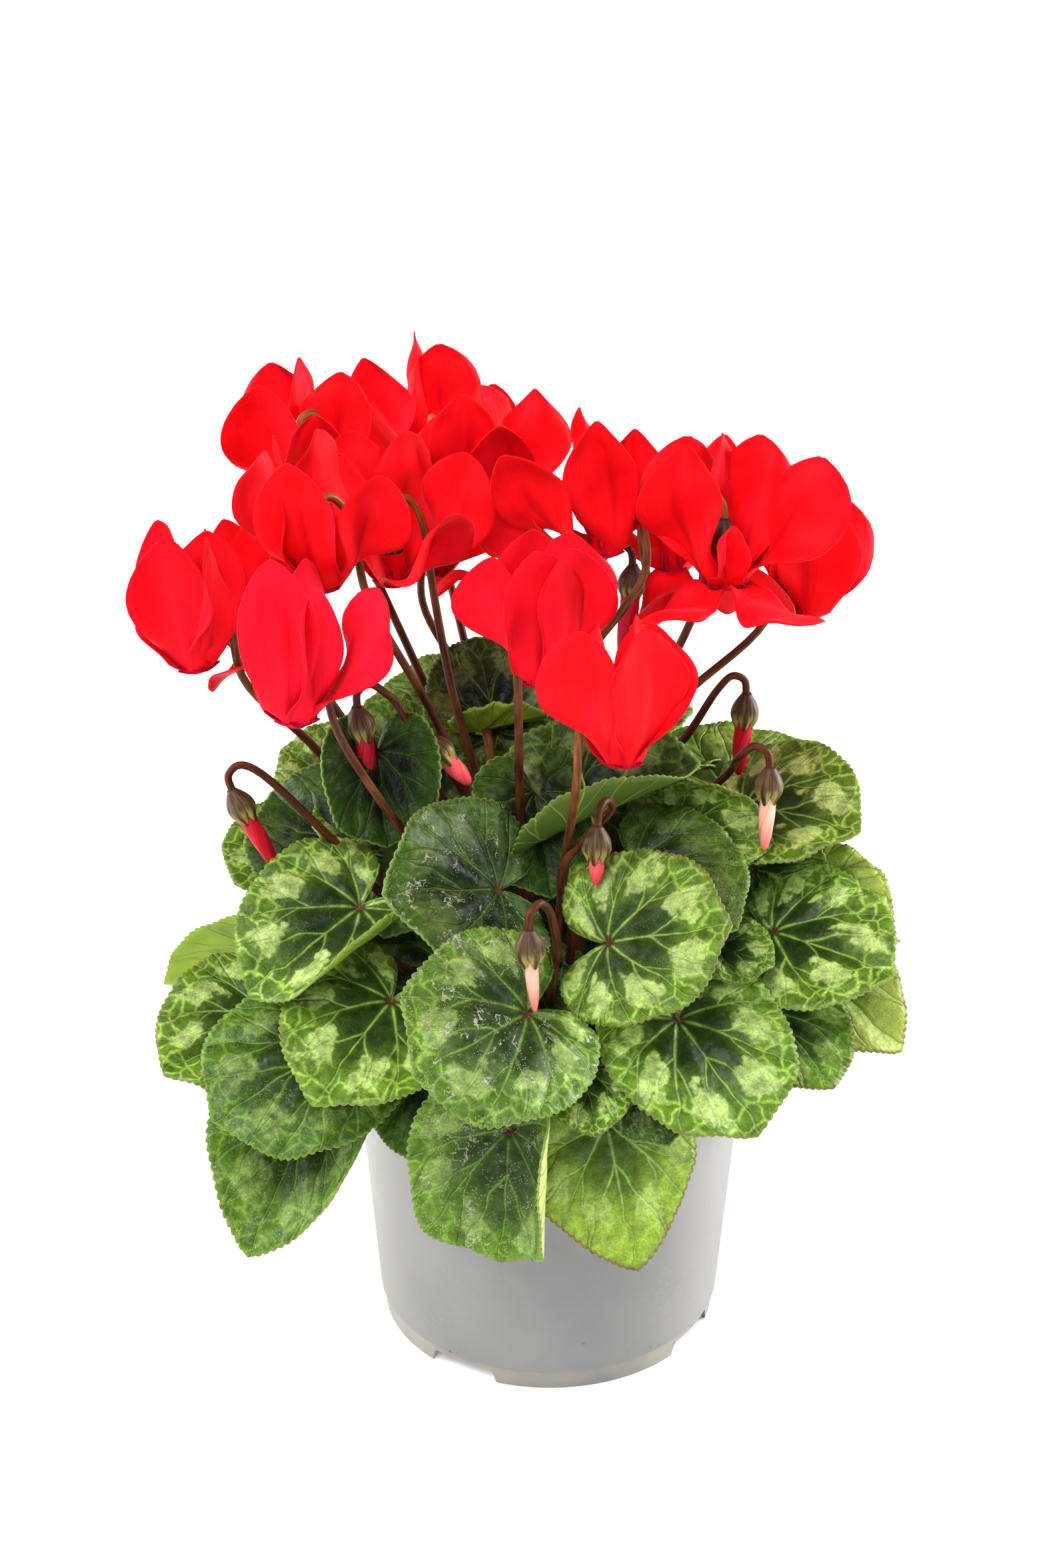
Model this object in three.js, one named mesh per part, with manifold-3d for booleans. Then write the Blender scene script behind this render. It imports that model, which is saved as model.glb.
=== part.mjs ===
// Potted cyclamen: a nursery pot with soil, a corm, marbled heart-shaped leaves, scarlet blooms and buds.
// Millimetres, +Z up. The origin is the middle of the pot's foot, on the surface that the pot stands on.
// The front, the side with the two hanging leaves, faces -Y.
import * as THREE from 'three';
import { mergeVertices } from 'three/addons/utils/BufferGeometryUtils.js';
import Module from 'manifold-3d';

const wasm = await Module();
wasm.setup();

// Pot
const POT_HEIGHT = 92;
const POT_RIM_RADIUS = 60;
const POT_BASE_RADIUS = 52.8;
const POT_WALL = 1.2;
const POT_SIDES = 32;
const LIP_HEIGHT = 3;
const LIP_DEPTH = 0.7;
const FOOT_RADIUS = 52;
const FOOT_HEIGHT = 6.8;
const FLOOR_UNDERSIDE = 5.2;
const HUB_RADIUS = 9;
const FOOT_ARCH = { count: 4, first: -121, width: 26, height: 4.6 };
const DRAIN_HOLE = { count: 6, radius: 3.4, ring: 33, sides: 8 };

// Soil and corm
const GAP = 0.3;
const SOIL_LEVEL = 85;
const SOIL_SIDES = 32;
const SOIL_RELIEF = 1.1;
const CORM = { radius: 17, halfHeight: 10, centre: 86, sides: 12, steps: 5 };
const CROWN_HEIGHT = 94;
const ROOT_DEPTH = 2;

// Stems
const PETIOLE_RADIUS = 1.25;
const PEDICEL_RADIUS = 1.4;
const STEM_SIDES = 5;
const PETIOLE_STEPS = 4;
const PETIOLE_RING = 14.6;
const PETIOLE_RING_SLOPE = 0.055;
const PEDICEL_SPREAD = 0.085;

// Leaf blade, whose outline is given on one half for a blade of length 1 from the notch to the tip
const BLADE_THICKNESS = 0.7;
const LEAF_OUTLINE = [
  [1, 0], [0.93, 0.13], [0.76, 0.35], [0.46, 0.55], [0.12, 0.61],
  [-0.17, 0.52], [-0.32, 0.33], [-0.3, 0.15], [-0.15, 0.05], [-0.02, 0],
];
const LEAF_RIM_POINTS = 32;
const LEAF_CENTRE = 0.12;
const TOOTH = 0.011;
const WAVES_ROUND_LEAF = 5;

// Bloom: a short tube that hangs mouth down, with petals bent back up from its mouth
const TUBE = [[0, -0.9], [4.8, -0.9], [3.4, 9], [0, 9]];
const TUBE_LENGTH = 9;
const TUBE_SIDES = 6;
const PETAL_LENGTH = 37;
const PETAL_WIDTH = 19;
const PETAL_THICKNESS = 0.7;
const PETAL_ROWS = [[0, 0.2], [0.28, 0.56], [0.58, 1], [0.85, 0.82]];
const PETAL_CUP = 1.6;
const PETAL_BELLY = 16;

// Calyx, from its mouth to the pedicel, and the closed spike of petals of a bud
const CALYX = [[0, 0], [2.7, 0], [4.2, 3.4], [1.6, 9.6], [0, 9.6]];
const CALYX_HEIGHT = 9.6;
const CALYX_SIDES = 6;
const SPIKE = [[0, 0], [1, 0.6], [2.6, 7], [2.2, 16], [0, 16]];
const SPIKE_HEIGHT = 16;

// Each leaf: the notch where the petiole meets the blade, the way the blade runs from there in degrees
// (heading from +X, rise above level, roll about the midrib), its length, the fold at the midrib, the curl
// of its left and right half, the bend of the midrib towards the underside, and the height of its waves.
const LEAVES = [
  { at: [-7, -83, 148], heading: -136, rise: -4, roll: -46, size: 45, fold: 4, curl: [4, -4], bend: 10, wave: 1.2 },
  { at: [15, -67, 161], heading: -24, rise: 20, roll: 46, size: 41, fold: 5, curl: [10, -8], bend: 6, wave: 0.8 },
  { at: [35, -64, 135], heading: -52, rise: -28, roll: 14, size: 44, fold: 5, curl: [-4, -6], bend: 8, wave: 1 },
  { at: [64, -30, 145], heading: -38, rise: 0, roll: 26, size: 42, fold: 5, curl: [6, -4], bend: 8, wave: 1 },
  { at: [17, -82, 108], heading: -37, rise: -75, roll: 30, size: 42, fold: -4, curl: [-6, -8], bend: -6, wave: 1 },
  { at: [-18, -83, 112], heading: -105, rise: -81, roll: 0, size: 44, fold: 8, curl: [60, 34], bend: -6, wave: 0.6 },
  { at: [-45, -62, 140], heading: -121, rise: -17, roll: -22, size: 42, fold: 5, curl: [6, 0], bend: 10, wave: 1 },
  { at: [-62, -55, 121], heading: -147, rise: -14, roll: -30, size: 45, fold: 4, curl: [-12, -10], bend: 10, wave: 1 },
  { at: [-83, -30, 117], heading: -137, rise: -7, roll: -22, size: 40, fold: 8, curl: [6, 8], bend: 6, wave: 1 },
  { at: [-68, -45, 94], heading: -125, rise: -34, roll: -14, size: 46, fold: 12, curl: [10, 10], bend: 10, wave: 0.8,
    arch: 14 },
  { at: [-82, 4, 120], heading: 176, rise: -6, roll: 58, size: 40, fold: 4, curl: [0, 10], bend: 4, wave: 0.8 },
  { at: [-54, -46, 161], heading: -140, rise: -19, roll: -28, size: 43, fold: 6, curl: [92, 4], bend: 8, wave: 0.6 },
  { at: [-78, 14, 156], heading: -130, rise: 0, roll: -15, size: 34, fold: 5, curl: [8, 8], bend: 6, wave: 1 },
  { at: [-57, -22, 164], heading: 142, rise: 22, roll: -40, size: 40, fold: 4, curl: [4, 6], bend: 10, wave: 1 },
  { at: [-15, -41, 164], heading: -140, rise: 18, roll: -50, size: 44, fold: 6, curl: [6, 6], bend: 6, wave: 1.2 },
  { at: [2, -19, 177], heading: 8, rise: 14, roll: 32, size: 46, fold: 34, curl: [6, 44], bend: 6, wave: 0.6 },
  { at: [36, -15, 168], heading: -20, rise: 8, roll: 34, size: 31, fold: 10, curl: [50, 6], bend: 4, wave: 0.8 },
  { at: [24, -32, 168], heading: -44, rise: -10, roll: 26, size: 40, fold: 6, curl: [-14, -10], bend: 10, wave: 0.8 },
  { at: [57, 0, 171], heading: -40, rise: 10, roll: 26, size: 42, fold: 5, curl: [4, 4], bend: 10, wave: 1 },
  { at: [54, 28, 164], heading: 40, rise: 8, roll: 10, size: 42, fold: 5, curl: [6, 4], bend: 10, wave: 1 },
  { at: [77, 4, 148], heading: -44, rise: -8, roll: 14, size: 36, fold: 5, curl: [4, 4], bend: 8, wave: 1 },
  { at: [65, -38, 123], heading: -55, rise: -22, roll: 10, size: 35, fold: 4, curl: [-6, -6], bend: 8, wave: 1 },
  { at: [76, -8, 124], heading: -30, rise: -22, roll: 20, size: 38, fold: 4, curl: [-6, -6], bend: 8, wave: 1 },
  { at: [-35, -56, 113], heading: -98, rise: -58, roll: 0, size: 28, fold: 4, curl: [8, 8], bend: 6, wave: 0.8 },
  { at: [-16, 12, 186], heading: 110, rise: 42, roll: -6, size: 34, fold: 5, curl: [4, 24], bend: 10, wave: 1 },
  { at: [-30, 44, 188], heading: 158, rise: 12, roll: -25, size: 34, fold: 5, curl: [6, 6], bend: 12, wave: 1 },
  { at: [-43, 18, 180], heading: 180, rise: -8, roll: -58, size: 28, fold: 8, curl: [14, 14], bend: 8, wave: 0.8 },
  { at: [14, 38, 180], heading: 60, rise: 4, roll: 6, size: 42, fold: 6, curl: [8, 8], bend: 12, wave: 1.2 },
  { at: [-12, 62, 152], heading: 100, rise: -24, roll: 0, size: 44, fold: 5, curl: [6, 6], bend: 12, wave: 1.2 },
  { at: [38, 58, 142], heading: 60, rise: -22, roll: 0, size: 44, fold: 5, curl: [6, 6], bend: 12, wave: 1.2 },
  { at: [-54, 52, 138], heading: 132, rise: -22, roll: 0, size: 44, fold: 5, curl: [6, 6], bend: 12, wave: 1.2 },
  { at: [78, 34, 122], heading: 24, rise: -24, roll: 0, size: 42, fold: 5, curl: [6, 6], bend: 12, wave: 1.2 },
  { at: [12, 78, 116], heading: 86, rise: -40, roll: 0, size: 42, fold: 5, curl: [6, 6], bend: 12, wave: 1.2 },
  { at: [8, -78, 124], heading: -76, rise: -35, roll: 6, size: 26, fold: 4, curl: [6, 6], bend: 8, wave: 0.6 },
];

// Each bloom: the middle of its mouth, the lean of its axis (degrees from plumb, and towards which heading),
// the side that the pedicel passes on, and its petals as [heading, flare from the axis, turn about themselves].
const BLOOMS = [
  { at: [-100, -15, 221], lean: [6, 180], stem: 8, via: [[-44, -2, 150], [-68, 8, 184]],
    petals: [[-110, 14, -20], [170, 16, 30], [120, 14, 20], [75, 14, 30], [-60, 12, 40]] },
  { at: [-84, 20, 210], lean: [8, 200], stem: 10, via: [[-36, 18, 150], [-62, 28, 186]],
    petals: [[130, 22, 20], [-117, 73, 10], [180, 24, 40], [75, 16, 30], [-60, 18, 30]] },
  { at: [-68, -60, 224], lean: [4, 180], stem: 45, via: [[-26, -24, 150], [-42, -40, 182]],
    petals: [[-115, 9, -12], [95, 10, 70], [-5, 34, 60], [-60, 22, 40], [150, 18, 30]] },
  { at: [-72, 40, 253], lean: [6, 170], stem: 30, via: [[-22, 10, 152], [-31, 16, 186]],
    petals: [[-170, 32, 50], [130, 16, 10], [88, 15, 80], [-30, 22, 70], [-85, 36, 10]] },
  { at: [-62, -34, 252], lean: [6, 190], stem: 30, via: [[-20, -7, 160], [-32, -10, 200]],
    petals: [[-165, 24, 40], [140, 12, 40], [-95, 14, 40], [-20, 22, 40], [85, 12, 50]] },
  { at: [-45, 8, 238], lean: [4, 180], stem: 30, via: [[-16, -1, 160], [-28, 0, 205]],
    petals: [[120, 10, 0], [-150, 10, 30], [0, 32, 60], [65, 14, 60], [-55, 46, 20]] },
  { at: [-34, 77, 243], lean: [4, 180], stem: -95, via: [[-14, 26, 150], [-24, 44, 196]],
    petals: [[170, 28, 45], [-154, 40, 30], [105, 12, 80], [50, 12, 20], [-40, 14, 20]] },
  { at: [-18, 35, 251], lean: [4, 150], stem: -20, via: [[-8, 24, 160], [-16, 44, 205]],
    petals: [[-110, 15, 40], [30, 30, 40], [-65, 33, 10], [150, 16, 30], [78, 10, 40]] },
  { at: [15, 5, 248], lean: [5, 150], stem: -20, via: [[4, 6, 160], [4, 4, 205]],
    petals: [[-75, 12, 0], [20, 16, 60], [-140, 28, 60], [178, 52, 20], [120, 16, 70]] },
  { at: [38, 45, 229], lean: [10, 170], stem: -145, via: [[8, 14, 160], [18, 26, 195]],
    petals: [[105, 10, 80], [60, 14, 60], [150, 34, 80], [-115, 48, 20], [10, 30, 40]] },
  { at: [48, -14, 245], lean: [6, 100], stem: -160, via: [[14, 6, 160], [28, 4, 200]],
    petals: [[140, 20, 50], [-100, 9, 10], [85, 9, 80], [50, 16, 20], [10, 40, 60], [-125, 72, 10],
      [-60, 80, 0], [-50, 24, 20]] },
  { at: [72, 16, 224], lean: [8, 20], stem: -170, via: [[18, 10, 160], [34, 12, 195]],
    petals: [[-25, 18, -30], [30, 26, 30], [70, 14, 40], [110, 12, 40], [-100, 62, 20]] },
  { at: [-3, -42, 228], lean: [4, 200], stem: 125, via: [[-7, -14, 155], [-9, -24, 185]],
    petals: [[-172, 28, 45], [-100, 10, 25], [-45, 10, -20], [5, 20, 55], [40, 17, 60]] },
  { at: [18, -72, 217], lean: [3, 100], stem: 180, via: [[2, -34, 148], [4, -52, 182]],
    petals: [[-140, 16, 30], [-35, 17, -20], [20, 14, 40], [65, 14, 80], [110, 14, 40]] },
  { at: [-34, 50, 226], lean: [6, -60], stem: -110, via: [[-10, 24, 150], [-24, 40, 190]],
    petals: [[-50, 75, 0], [10, 14, 30], [70, 12, 40], [130, 12, 40], [-170, 14, 30]] },
];

// Each bud: the mouth of its calyx, its lean, the side of the pedicel, how long and wide its spike is against
// the full one, its colour, and the points that its pedicel passes on the way up.
const BUDS = [
  { at: [-86, -30, 181], lean: [26, 180], stem: 10, spike: [1.1, 1.1], tint: 'red',
    via: [[-34, -16, 140], [-60, -30, 172]] },
  { at: [-53, -26, 204], lean: [10, 180], stem: 10, spike: [0.8, 1], tint: 'red',
    via: [[-18, -14, 150], [-34, -22, 190], [-43, -22, 212]] },
  { at: [-29, -22, 195], lean: [44, 165], stem: 120, spike: [0.55, 1], tint: 'coral',
    via: [[-16, -8, 150], [-26, -8, 180]] },
  { at: [12, -58, 182], lean: [2, 90], stem: 60, spike: [0.5, 0.8], tint: 'coral',
    via: [[6, -32, 145], [3, -54, 178]] },
  { at: [-6, -86, 165], lean: [4, 180], stem: 50, spike: [0.95, 0.9], tint: 'pale',
    via: [[0, -50, 140], [1, -77, 166]] },
  { at: [56, 0, 197], lean: [4, 20], stem: -165, spike: [1, 1], tint: 'red', via: [[24, 8, 168], [40, 4, 192]] },
  { at: [61, -30, 187], lean: [2, 20], stem: 160, spike: [1, 1], tint: 'pale', via: [[28, 2, 155], [51, -3, 182]] },
  { at: [23, 15, 231], lean: [4, 0], stem: 160, spike: [1.6, 1.1], tint: 'red', via: [[8, 10, 165], [12, 16, 210]] },
];

const COLOURS = {
  pot: 0xa9a9b4, soil: 0x4b3426, stem: 0x5a3328, leaf: 0x3f6b35, bloom: 0xd8101c,
  red: 0xc4203a, coral: 0xe8656a, pale: 0xf0a9a4,
};

const deg = (angle) => THREE.MathUtils.degToRad(angle);
const vec = (x, y, z) => new THREE.Vector3(x, y, z);
const UP = vec(0, 0, 1);

function sideways(heading) {
  return vec(Math.cos(deg(heading)), Math.sin(deg(heading)), 0);
}

// Solids

function weld(geometry) {
  geometry.deleteAttribute('normal');
  geometry.deleteAttribute('uv');
  return mergeVertices(geometry, 1e-4);
}

function solidOf(geometry) {
  const welded = weld(geometry);
  const mesh = new wasm.Mesh({
    numProp: 3,
    vertProperties: new Float32Array(welded.attributes.position.array),
    triVerts: new Uint32Array(welded.index.array),
  });
  return new wasm.Manifold(mesh);
}

function geometryOf(solid) {
  const mesh = solid.getMesh();
  const geometry = new THREE.BufferGeometry();
  geometry.setAttribute('position', new THREE.BufferAttribute(mesh.vertProperties, 3));
  geometry.setIndex(new THREE.BufferAttribute(mesh.triVerts, 1));
  return geometry;
}

// The joined body without its sealed hollows: only the outer skin, which holds the most, is kept.
function fuse(solids) {
  const joined = solids.reduce((sum, solid) => sum.add(solid));
  return joined.decompose().reduce((best, one) => (one.volume() > best.volume() ? one : best));
}

function lathe(profile, sides) {
  const points = profile.map(([radius, height]) => new THREE.Vector2(radius, height));
  const geometry = new THREE.LatheGeometry(points, sides);
  return geometry.rotateX(Math.PI / 2);
}

// Turns a shape made about +Z so that its axis runs along the given one, and sets it at a point.
function placed(geometry, at, axis) {
  geometry.applyQuaternion(new THREE.Quaternion().setFromUnitVectors(UP, axis));
  return geometry.translate(at.x, at.y, at.z);
}

function regularOutline(radius, sides) {
  const shape = new THREE.Shape();
  for (let k = 0; k < sides; k += 1) {
    const angle = (2 * Math.PI * k) / sides;
    const corner = [radius * Math.cos(angle), radius * Math.sin(angle)];
    if (k === 0) {
      shape.moveTo(...corner);
    } else {
      shape.lineTo(...corner);
    }
  }
  shape.closePath();
  return shape;
}

// A curve whose rings stand as close as its points do, so that a tight hook gets as many as a long rise.
class StemPath extends THREE.CatmullRomCurve3 {
  getPointAt(t, target) {
    return this.getPoint(t, target);
  }

  getTangentAt(t, target) {
    return this.getTangent(t, target);
  }
}

function tube(path, radius, steps) {
  const section = regularOutline(radius, STEM_SIDES);
  return new THREE.ExtrudeGeometry(section, { steps, extrudePath: path, curveSegments: 1 });
}

// A closed sheet: a grid of points and their triangles on one face, the same on the other, and the rim
// between them.
function sheet(points, normals, triangles, rim, thickness) {
  const count = points.length;
  const position = [];
  for (const side of [0.5, -0.5]) {
    points.forEach((point, k) => {
      const shifted = point.clone().addScaledVector(normals[k], side * thickness);
      position.push(shifted.x, shifted.y, shifted.z);
    });
  }
  const index = [];
  triangles.forEach(([a, b, c]) => {
    index.push(a, b, c, a + count, c + count, b + count);
  });
  rim.forEach((from, k) => {
    const to = rim[(k + 1) % rim.length];
    index.push(from, from + count, to, to, from + count, to + count);
  });
  const geometry = new THREE.BufferGeometry();
  geometry.setAttribute('position', new THREE.Float32BufferAttribute(position, 3));
  geometry.setIndex(index);
  return geometry;
}

// Leaf blades

// The frame of a blade: along the midrib, to its left, and out of its upper face.
function bladeFrame(leaf) {
  const along = sideways(leaf.heading).multiplyScalar(Math.cos(deg(leaf.rise)));
  along.z = Math.sin(deg(leaf.rise));
  const level = vec(-Math.sin(deg(leaf.heading)), Math.cos(deg(leaf.heading)), 0);
  const left = level.applyAxisAngle(along, deg(leaf.roll));
  const out = along.clone().cross(left);
  return { along, left, out };
}

// A point of the blade, given along and across it at full size, after its fold, curl, bend and waves.
function bladePoint(leaf, frame, along, across) {
  const half = 0.63 * leaf.size;
  const width = Math.abs(across);
  const fold = deg(leaf.fold);
  const curl = deg(across > 0 ? leaf.curl[0] : leaf.curl[1]) / half;
  let side = width * Math.cos(fold);
  let lift = width * Math.sin(fold);
  if (Math.abs(curl) > 1e-6) {
    side = (Math.sin(fold + curl * width) - Math.sin(fold)) / curl;
    lift = (Math.cos(fold) - Math.cos(fold + curl * width)) / curl;
  }
  const reach = Math.hypot(along, across) / leaf.size;
  const round = Math.atan2(across, along - LEAF_CENTRE * leaf.size);
  lift += leaf.wave * reach * reach * Math.sin(WAVES_ROUND_LEAF * round + leaf.heading);
  const bend = deg(leaf.bend) / leaf.size + 1e-6;
  const forward = Math.sin(bend * along) / bend + lift * Math.sin(bend * along);
  const height = (Math.cos(bend * along) - 1) / bend + lift * Math.cos(bend * along);
  return vec(...leaf.at)
    .addScaledVector(frame.along, forward)
    .addScaledVector(frame.left, side * Math.sign(across))
    .addScaledVector(frame.out, height);
}

function bladeNormal(leaf, frame, along, across) {
  const step = 0.5;
  const ahead = bladePoint(leaf, frame, along + step, across).sub(bladePoint(leaf, frame, along - step, across));
  const aside = bladePoint(leaf, frame, along, across + step).sub(bladePoint(leaf, frame, along, across - step));
  return ahead.cross(aside).normalize();
}

// The toothed rim of a blade of length 1, round from the tip over the left lobe, the notch and the right lobe.
function leafRim() {
  const half = new THREE.SplineCurve(LEAF_OUTLINE.map(([x, y]) => new THREE.Vector2(x, y)));
  const left = half.getSpacedPoints(LEAF_RIM_POINTS / 2);
  const right = left.slice(1, -1).reverse().map((point) => new THREE.Vector2(point.x, -point.y));
  return [...left, ...right].map((point, k) => {
    const from = new THREE.Vector2(LEAF_CENTRE, 0);
    const ray = point.clone().sub(from);
    const onMidrib = Math.abs(point.y) < 0.06;
    const tooth = onMidrib ? 0 : TOOTH * (k % 2 === 0 ? -1 : 1);
    return ray.setLength(ray.length() + tooth).add(from);
  });
}

const RIM = leafRim();

function leafBlade(leaf) {
  const grid = [...RIM, new THREE.Vector2(LEAF_CENTRE, 0)];
  const frame = bladeFrame(leaf);
  const points = grid.map(({ x, y }) => bladePoint(leaf, frame, x * leaf.size, y * leaf.size));
  const normals = grid.map(({ x, y }) => bladeNormal(leaf, frame, x * leaf.size, y * leaf.size));
  const rim = RIM.map((point, k) => k);
  const triangles = rim.map((k) => [k, (k + 1) % RIM.length, RIM.length]);
  return sheet(points, normals, triangles, rim, BLADE_THICKNESS);
}

// A point a little under the top of the corm, where a stem is rooted.
function crownPoint(level) {
  const share = level.length() / CORM.radius;
  return level.clone().setZ(CORM.centre + CORM.halfHeight * Math.sqrt(1 - share * share) - ROOT_DEPTH);
}

// The petiole comes up from the crown and meets the blade's underside squarely, just inside the notch.
function petiole(leaf) {
  const frame = bladeFrame(leaf);
  const seat = 0.05 * leaf.size;
  const normal = bladeNormal(leaf, frame, seat, 0);
  const end = bladePoint(leaf, frame, seat, 0).addScaledVector(normal, -BLADE_THICKNESS / 2 - GAP);
  const outward = vec(end.x, end.y, 0).normalize();
  const root = crownPoint(outward.clone().multiplyScalar(PETIOLE_RING - PETIOLE_RING_SLOPE * (end.z - CROWN_HEIGHT)));
  const span = end.distanceTo(root);
  const rising = root.clone().addScaledVector(outward, 0.22 * span).addScaledVector(UP, 0.32 * span);
  const arriving = end.clone().addScaledVector(normal, -0.3 * span);
  if (leaf.arch) {
    rising.addScaledVector(UP, leaf.arch);
  }
  const path = new THREE.CubicBezierCurve3(root, rising, arriving, end);
  return tube(path, PETIOLE_RADIUS, PETIOLE_STEPS);
}

// Flowers

function headAxis([tilt, towards]) {
  return UP.clone().applyAxisAngle(sideways(towards + 90), deg(tilt));
}

// The pedicel rises beside the head, passes over it in a hook and comes down into the calyx.
function pedicelPath(mouth, axis, stemHeading, via, flanked) {
  const away = sideways(stemHeading);
  away.addScaledVector(axis, -away.dot(axis)).normalize();
  const beside = (up, out) => mouth.clone().addScaledVector(axis, up).addScaledVector(away, out);
  const hook = [beside(12, 8.6), beside(15.4, 5), beside(14, 1.2), beside(CALYX_HEIGHT - 1, 0)];
  const flank = flanked ? [beside(-14, 12), beside(4, 11)] : [];
  const points = [pedicelRoot(mouth), ...via.map((point) => vec(...point)), ...flank, ...hook];
  return new StemPath(points, false, 'centripetal');
}

function pedicelRoot(mouth) {
  return crownPoint(vec(mouth.x, mouth.y, 0).multiplyScalar(PEDICEL_SPREAD));
}

function pedicelAndCalyx(mouth, axis, stemHeading, via, flanked) {
  const path = pedicelPath(mouth, axis, stemHeading, via, flanked);
  const stem = tube(path, PEDICEL_RADIUS, path.points.length);
  const calyx = placed(lathe(CALYX, CALYX_SIDES), mouth, axis);
  return [solidOf(stem), solidOf(calyx)];
}

// One petal: it leaves the mouth at its own place in the ring, turns back over the rim and rises away from
// the axis by its flare, towards its heading.
function petal(nose, axis, place, [heading, flare, turn]) {
  const level = (angle) => {
    const direction = sideways(angle);
    return direction.addScaledVector(axis, -direction.dot(axis)).normalize();
  };
  const base = level(place);
  const out = level(heading);
  const towards = (angle, length) => out.clone().multiplyScalar(length * Math.sin(deg(angle)))
    .addScaledVector(axis, length * Math.cos(deg(angle)));
  const start = nose.clone().addScaledVector(base, 3).addScaledVector(axis, 1);
  const rim = nose.clone().addScaledVector(base, 4.8).addScaledVector(axis, -0.3);
  const tip = rim.clone().add(towards(flare, PETAL_LENGTH));
  const belly = rim.clone().add(towards(flare + PETAL_BELLY, 0.5 * PETAL_LENGTH));
  const curve = new THREE.QuadraticBezierCurve3(rim, belly, tip);
  const points = [];
  const normals = [];
  for (const [along, width] of PETAL_ROWS) {
    const middle = along === 0 ? start : curve.getPoint(along);
    const ahead = along === 0 ? base.clone().addScaledVector(axis, -0.3).normalize() : curve.getTangent(along);
    const outward = along === 0 ? base : out;
    const across = axis.clone().cross(outward);
    across.addScaledVector(ahead, -across.dot(ahead)).normalize();
    across.applyAxisAngle(ahead, deg(turn) * THREE.MathUtils.smoothstep(along, 0, 0.6));
    const face = across.clone().cross(ahead);
    for (const column of [-1, 0, 1]) {
      const cup = column === 0 ? PETAL_CUP * width : 0;
      points.push(middle.clone().addScaledVector(across, (column * width * PETAL_WIDTH) / 2)
        .addScaledVector(face, -cup));
      normals.push(face);
    }
  }
  points.push(tip);
  normals.push(normals[normals.length - 1]);
  return { points, normals };
}

function petalSolid(nose, axis, place, row) {
  const { points, normals } = petal(nose, axis, place, row);
  const rows = PETAL_ROWS.length;
  const tip = points.length - 1;
  const triangles = [];
  for (let r = 0; r < rows - 1; r += 1) {
    for (const c of [0, 1]) {
      const a = 3 * r + c;
      triangles.push([a, a + 1, a + 3], [a + 1, a + 4, a + 3]);
    }
  }
  const last = 3 * (rows - 1);
  triangles.push([last, last + 1, tip], [last + 1, last + 2, tip]);
  const rightSide = PETAL_ROWS.map((row_, r) => 3 * r + 2);
  const leftSide = PETAL_ROWS.map((row_, r) => 3 * r).reverse();
  const rim = [1, ...rightSide, tip, ...leftSide];
  return solidOf(sheet(points, normals, triangles, rim, PETAL_THICKNESS));
}

// The petals stand evenly round the mouth, in the order of their headings.
function petalPlaces(rows) {
  const sorted = [...rows].sort((a, b) => a[0] - b[0]);
  const pitch = 360 / sorted.length;
  const first = sorted.reduce((sum, [heading], k) => sum + heading - k * pitch, 0) / sorted.length;
  return sorted.map((row, k) => ({ place: first + k * pitch, row }));
}

function bloomSolid(bloom) {
  const nose = vec(...bloom.at);
  const axis = headAxis(bloom.lean);
  const mouthTube = solidOf(placed(lathe(TUBE, TUBE_SIDES), nose, axis));
  const petals = petalPlaces(bloom.petals).map(({ place, row }) => petalSolid(nose, axis, place, row));
  return fuse([mouthTube, ...petals]);
}

function budSpike(bud) {
  const [long, wide] = bud.spike;
  const axis = headAxis(bud.lean);
  const profile = SPIKE.map(([radius, height]) => [radius * wide, height * long]);
  const tip = vec(...bud.at).addScaledVector(axis, -SPIKE_HEIGHT * long - GAP);
  return placed(lathe(profile, CALYX_SIDES), tip, axis);
}

// Corm with all its stems

function cormProfile(margin) {
  const profile = [];
  for (let k = 0; k <= CORM.steps; k += 1) {
    const angle = -Math.PI / 2 + (Math.PI * k) / CORM.steps;
    const radius = (CORM.radius + margin) * Math.cos(angle);
    profile.push([k === 0 || k === CORM.steps ? 0 : radius, CORM.centre + (CORM.halfHeight + margin) * Math.sin(angle)]);
  }
  return profile;
}

function cormWithStems() {
  const corm = solidOf(lathe(cormProfile(0), CORM.sides));
  const solids = [corm, ...LEAVES.map((leaf) => solidOf(petiole(leaf)))];
  BLOOMS.forEach((bloom) => {
    const axis = headAxis(bloom.lean);
    const mouth = vec(...bloom.at).addScaledVector(axis, TUBE_LENGTH + GAP);
    solids.push(...pedicelAndCalyx(mouth, axis, bloom.stem, bloom.via, true));
  });
  BUDS.forEach((bud) => {
    solids.push(...pedicelAndCalyx(vec(...bud.at), headAxis(bud.lean), bud.stem, bud.via, false));
  });
  return geometryOf(fuse(solids));
}

// Soil

function outerRadius(height) {
  return POT_BASE_RADIUS + ((POT_RIM_RADIUS - POT_BASE_RADIUS) * height) / POT_HEIGHT;
}

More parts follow.
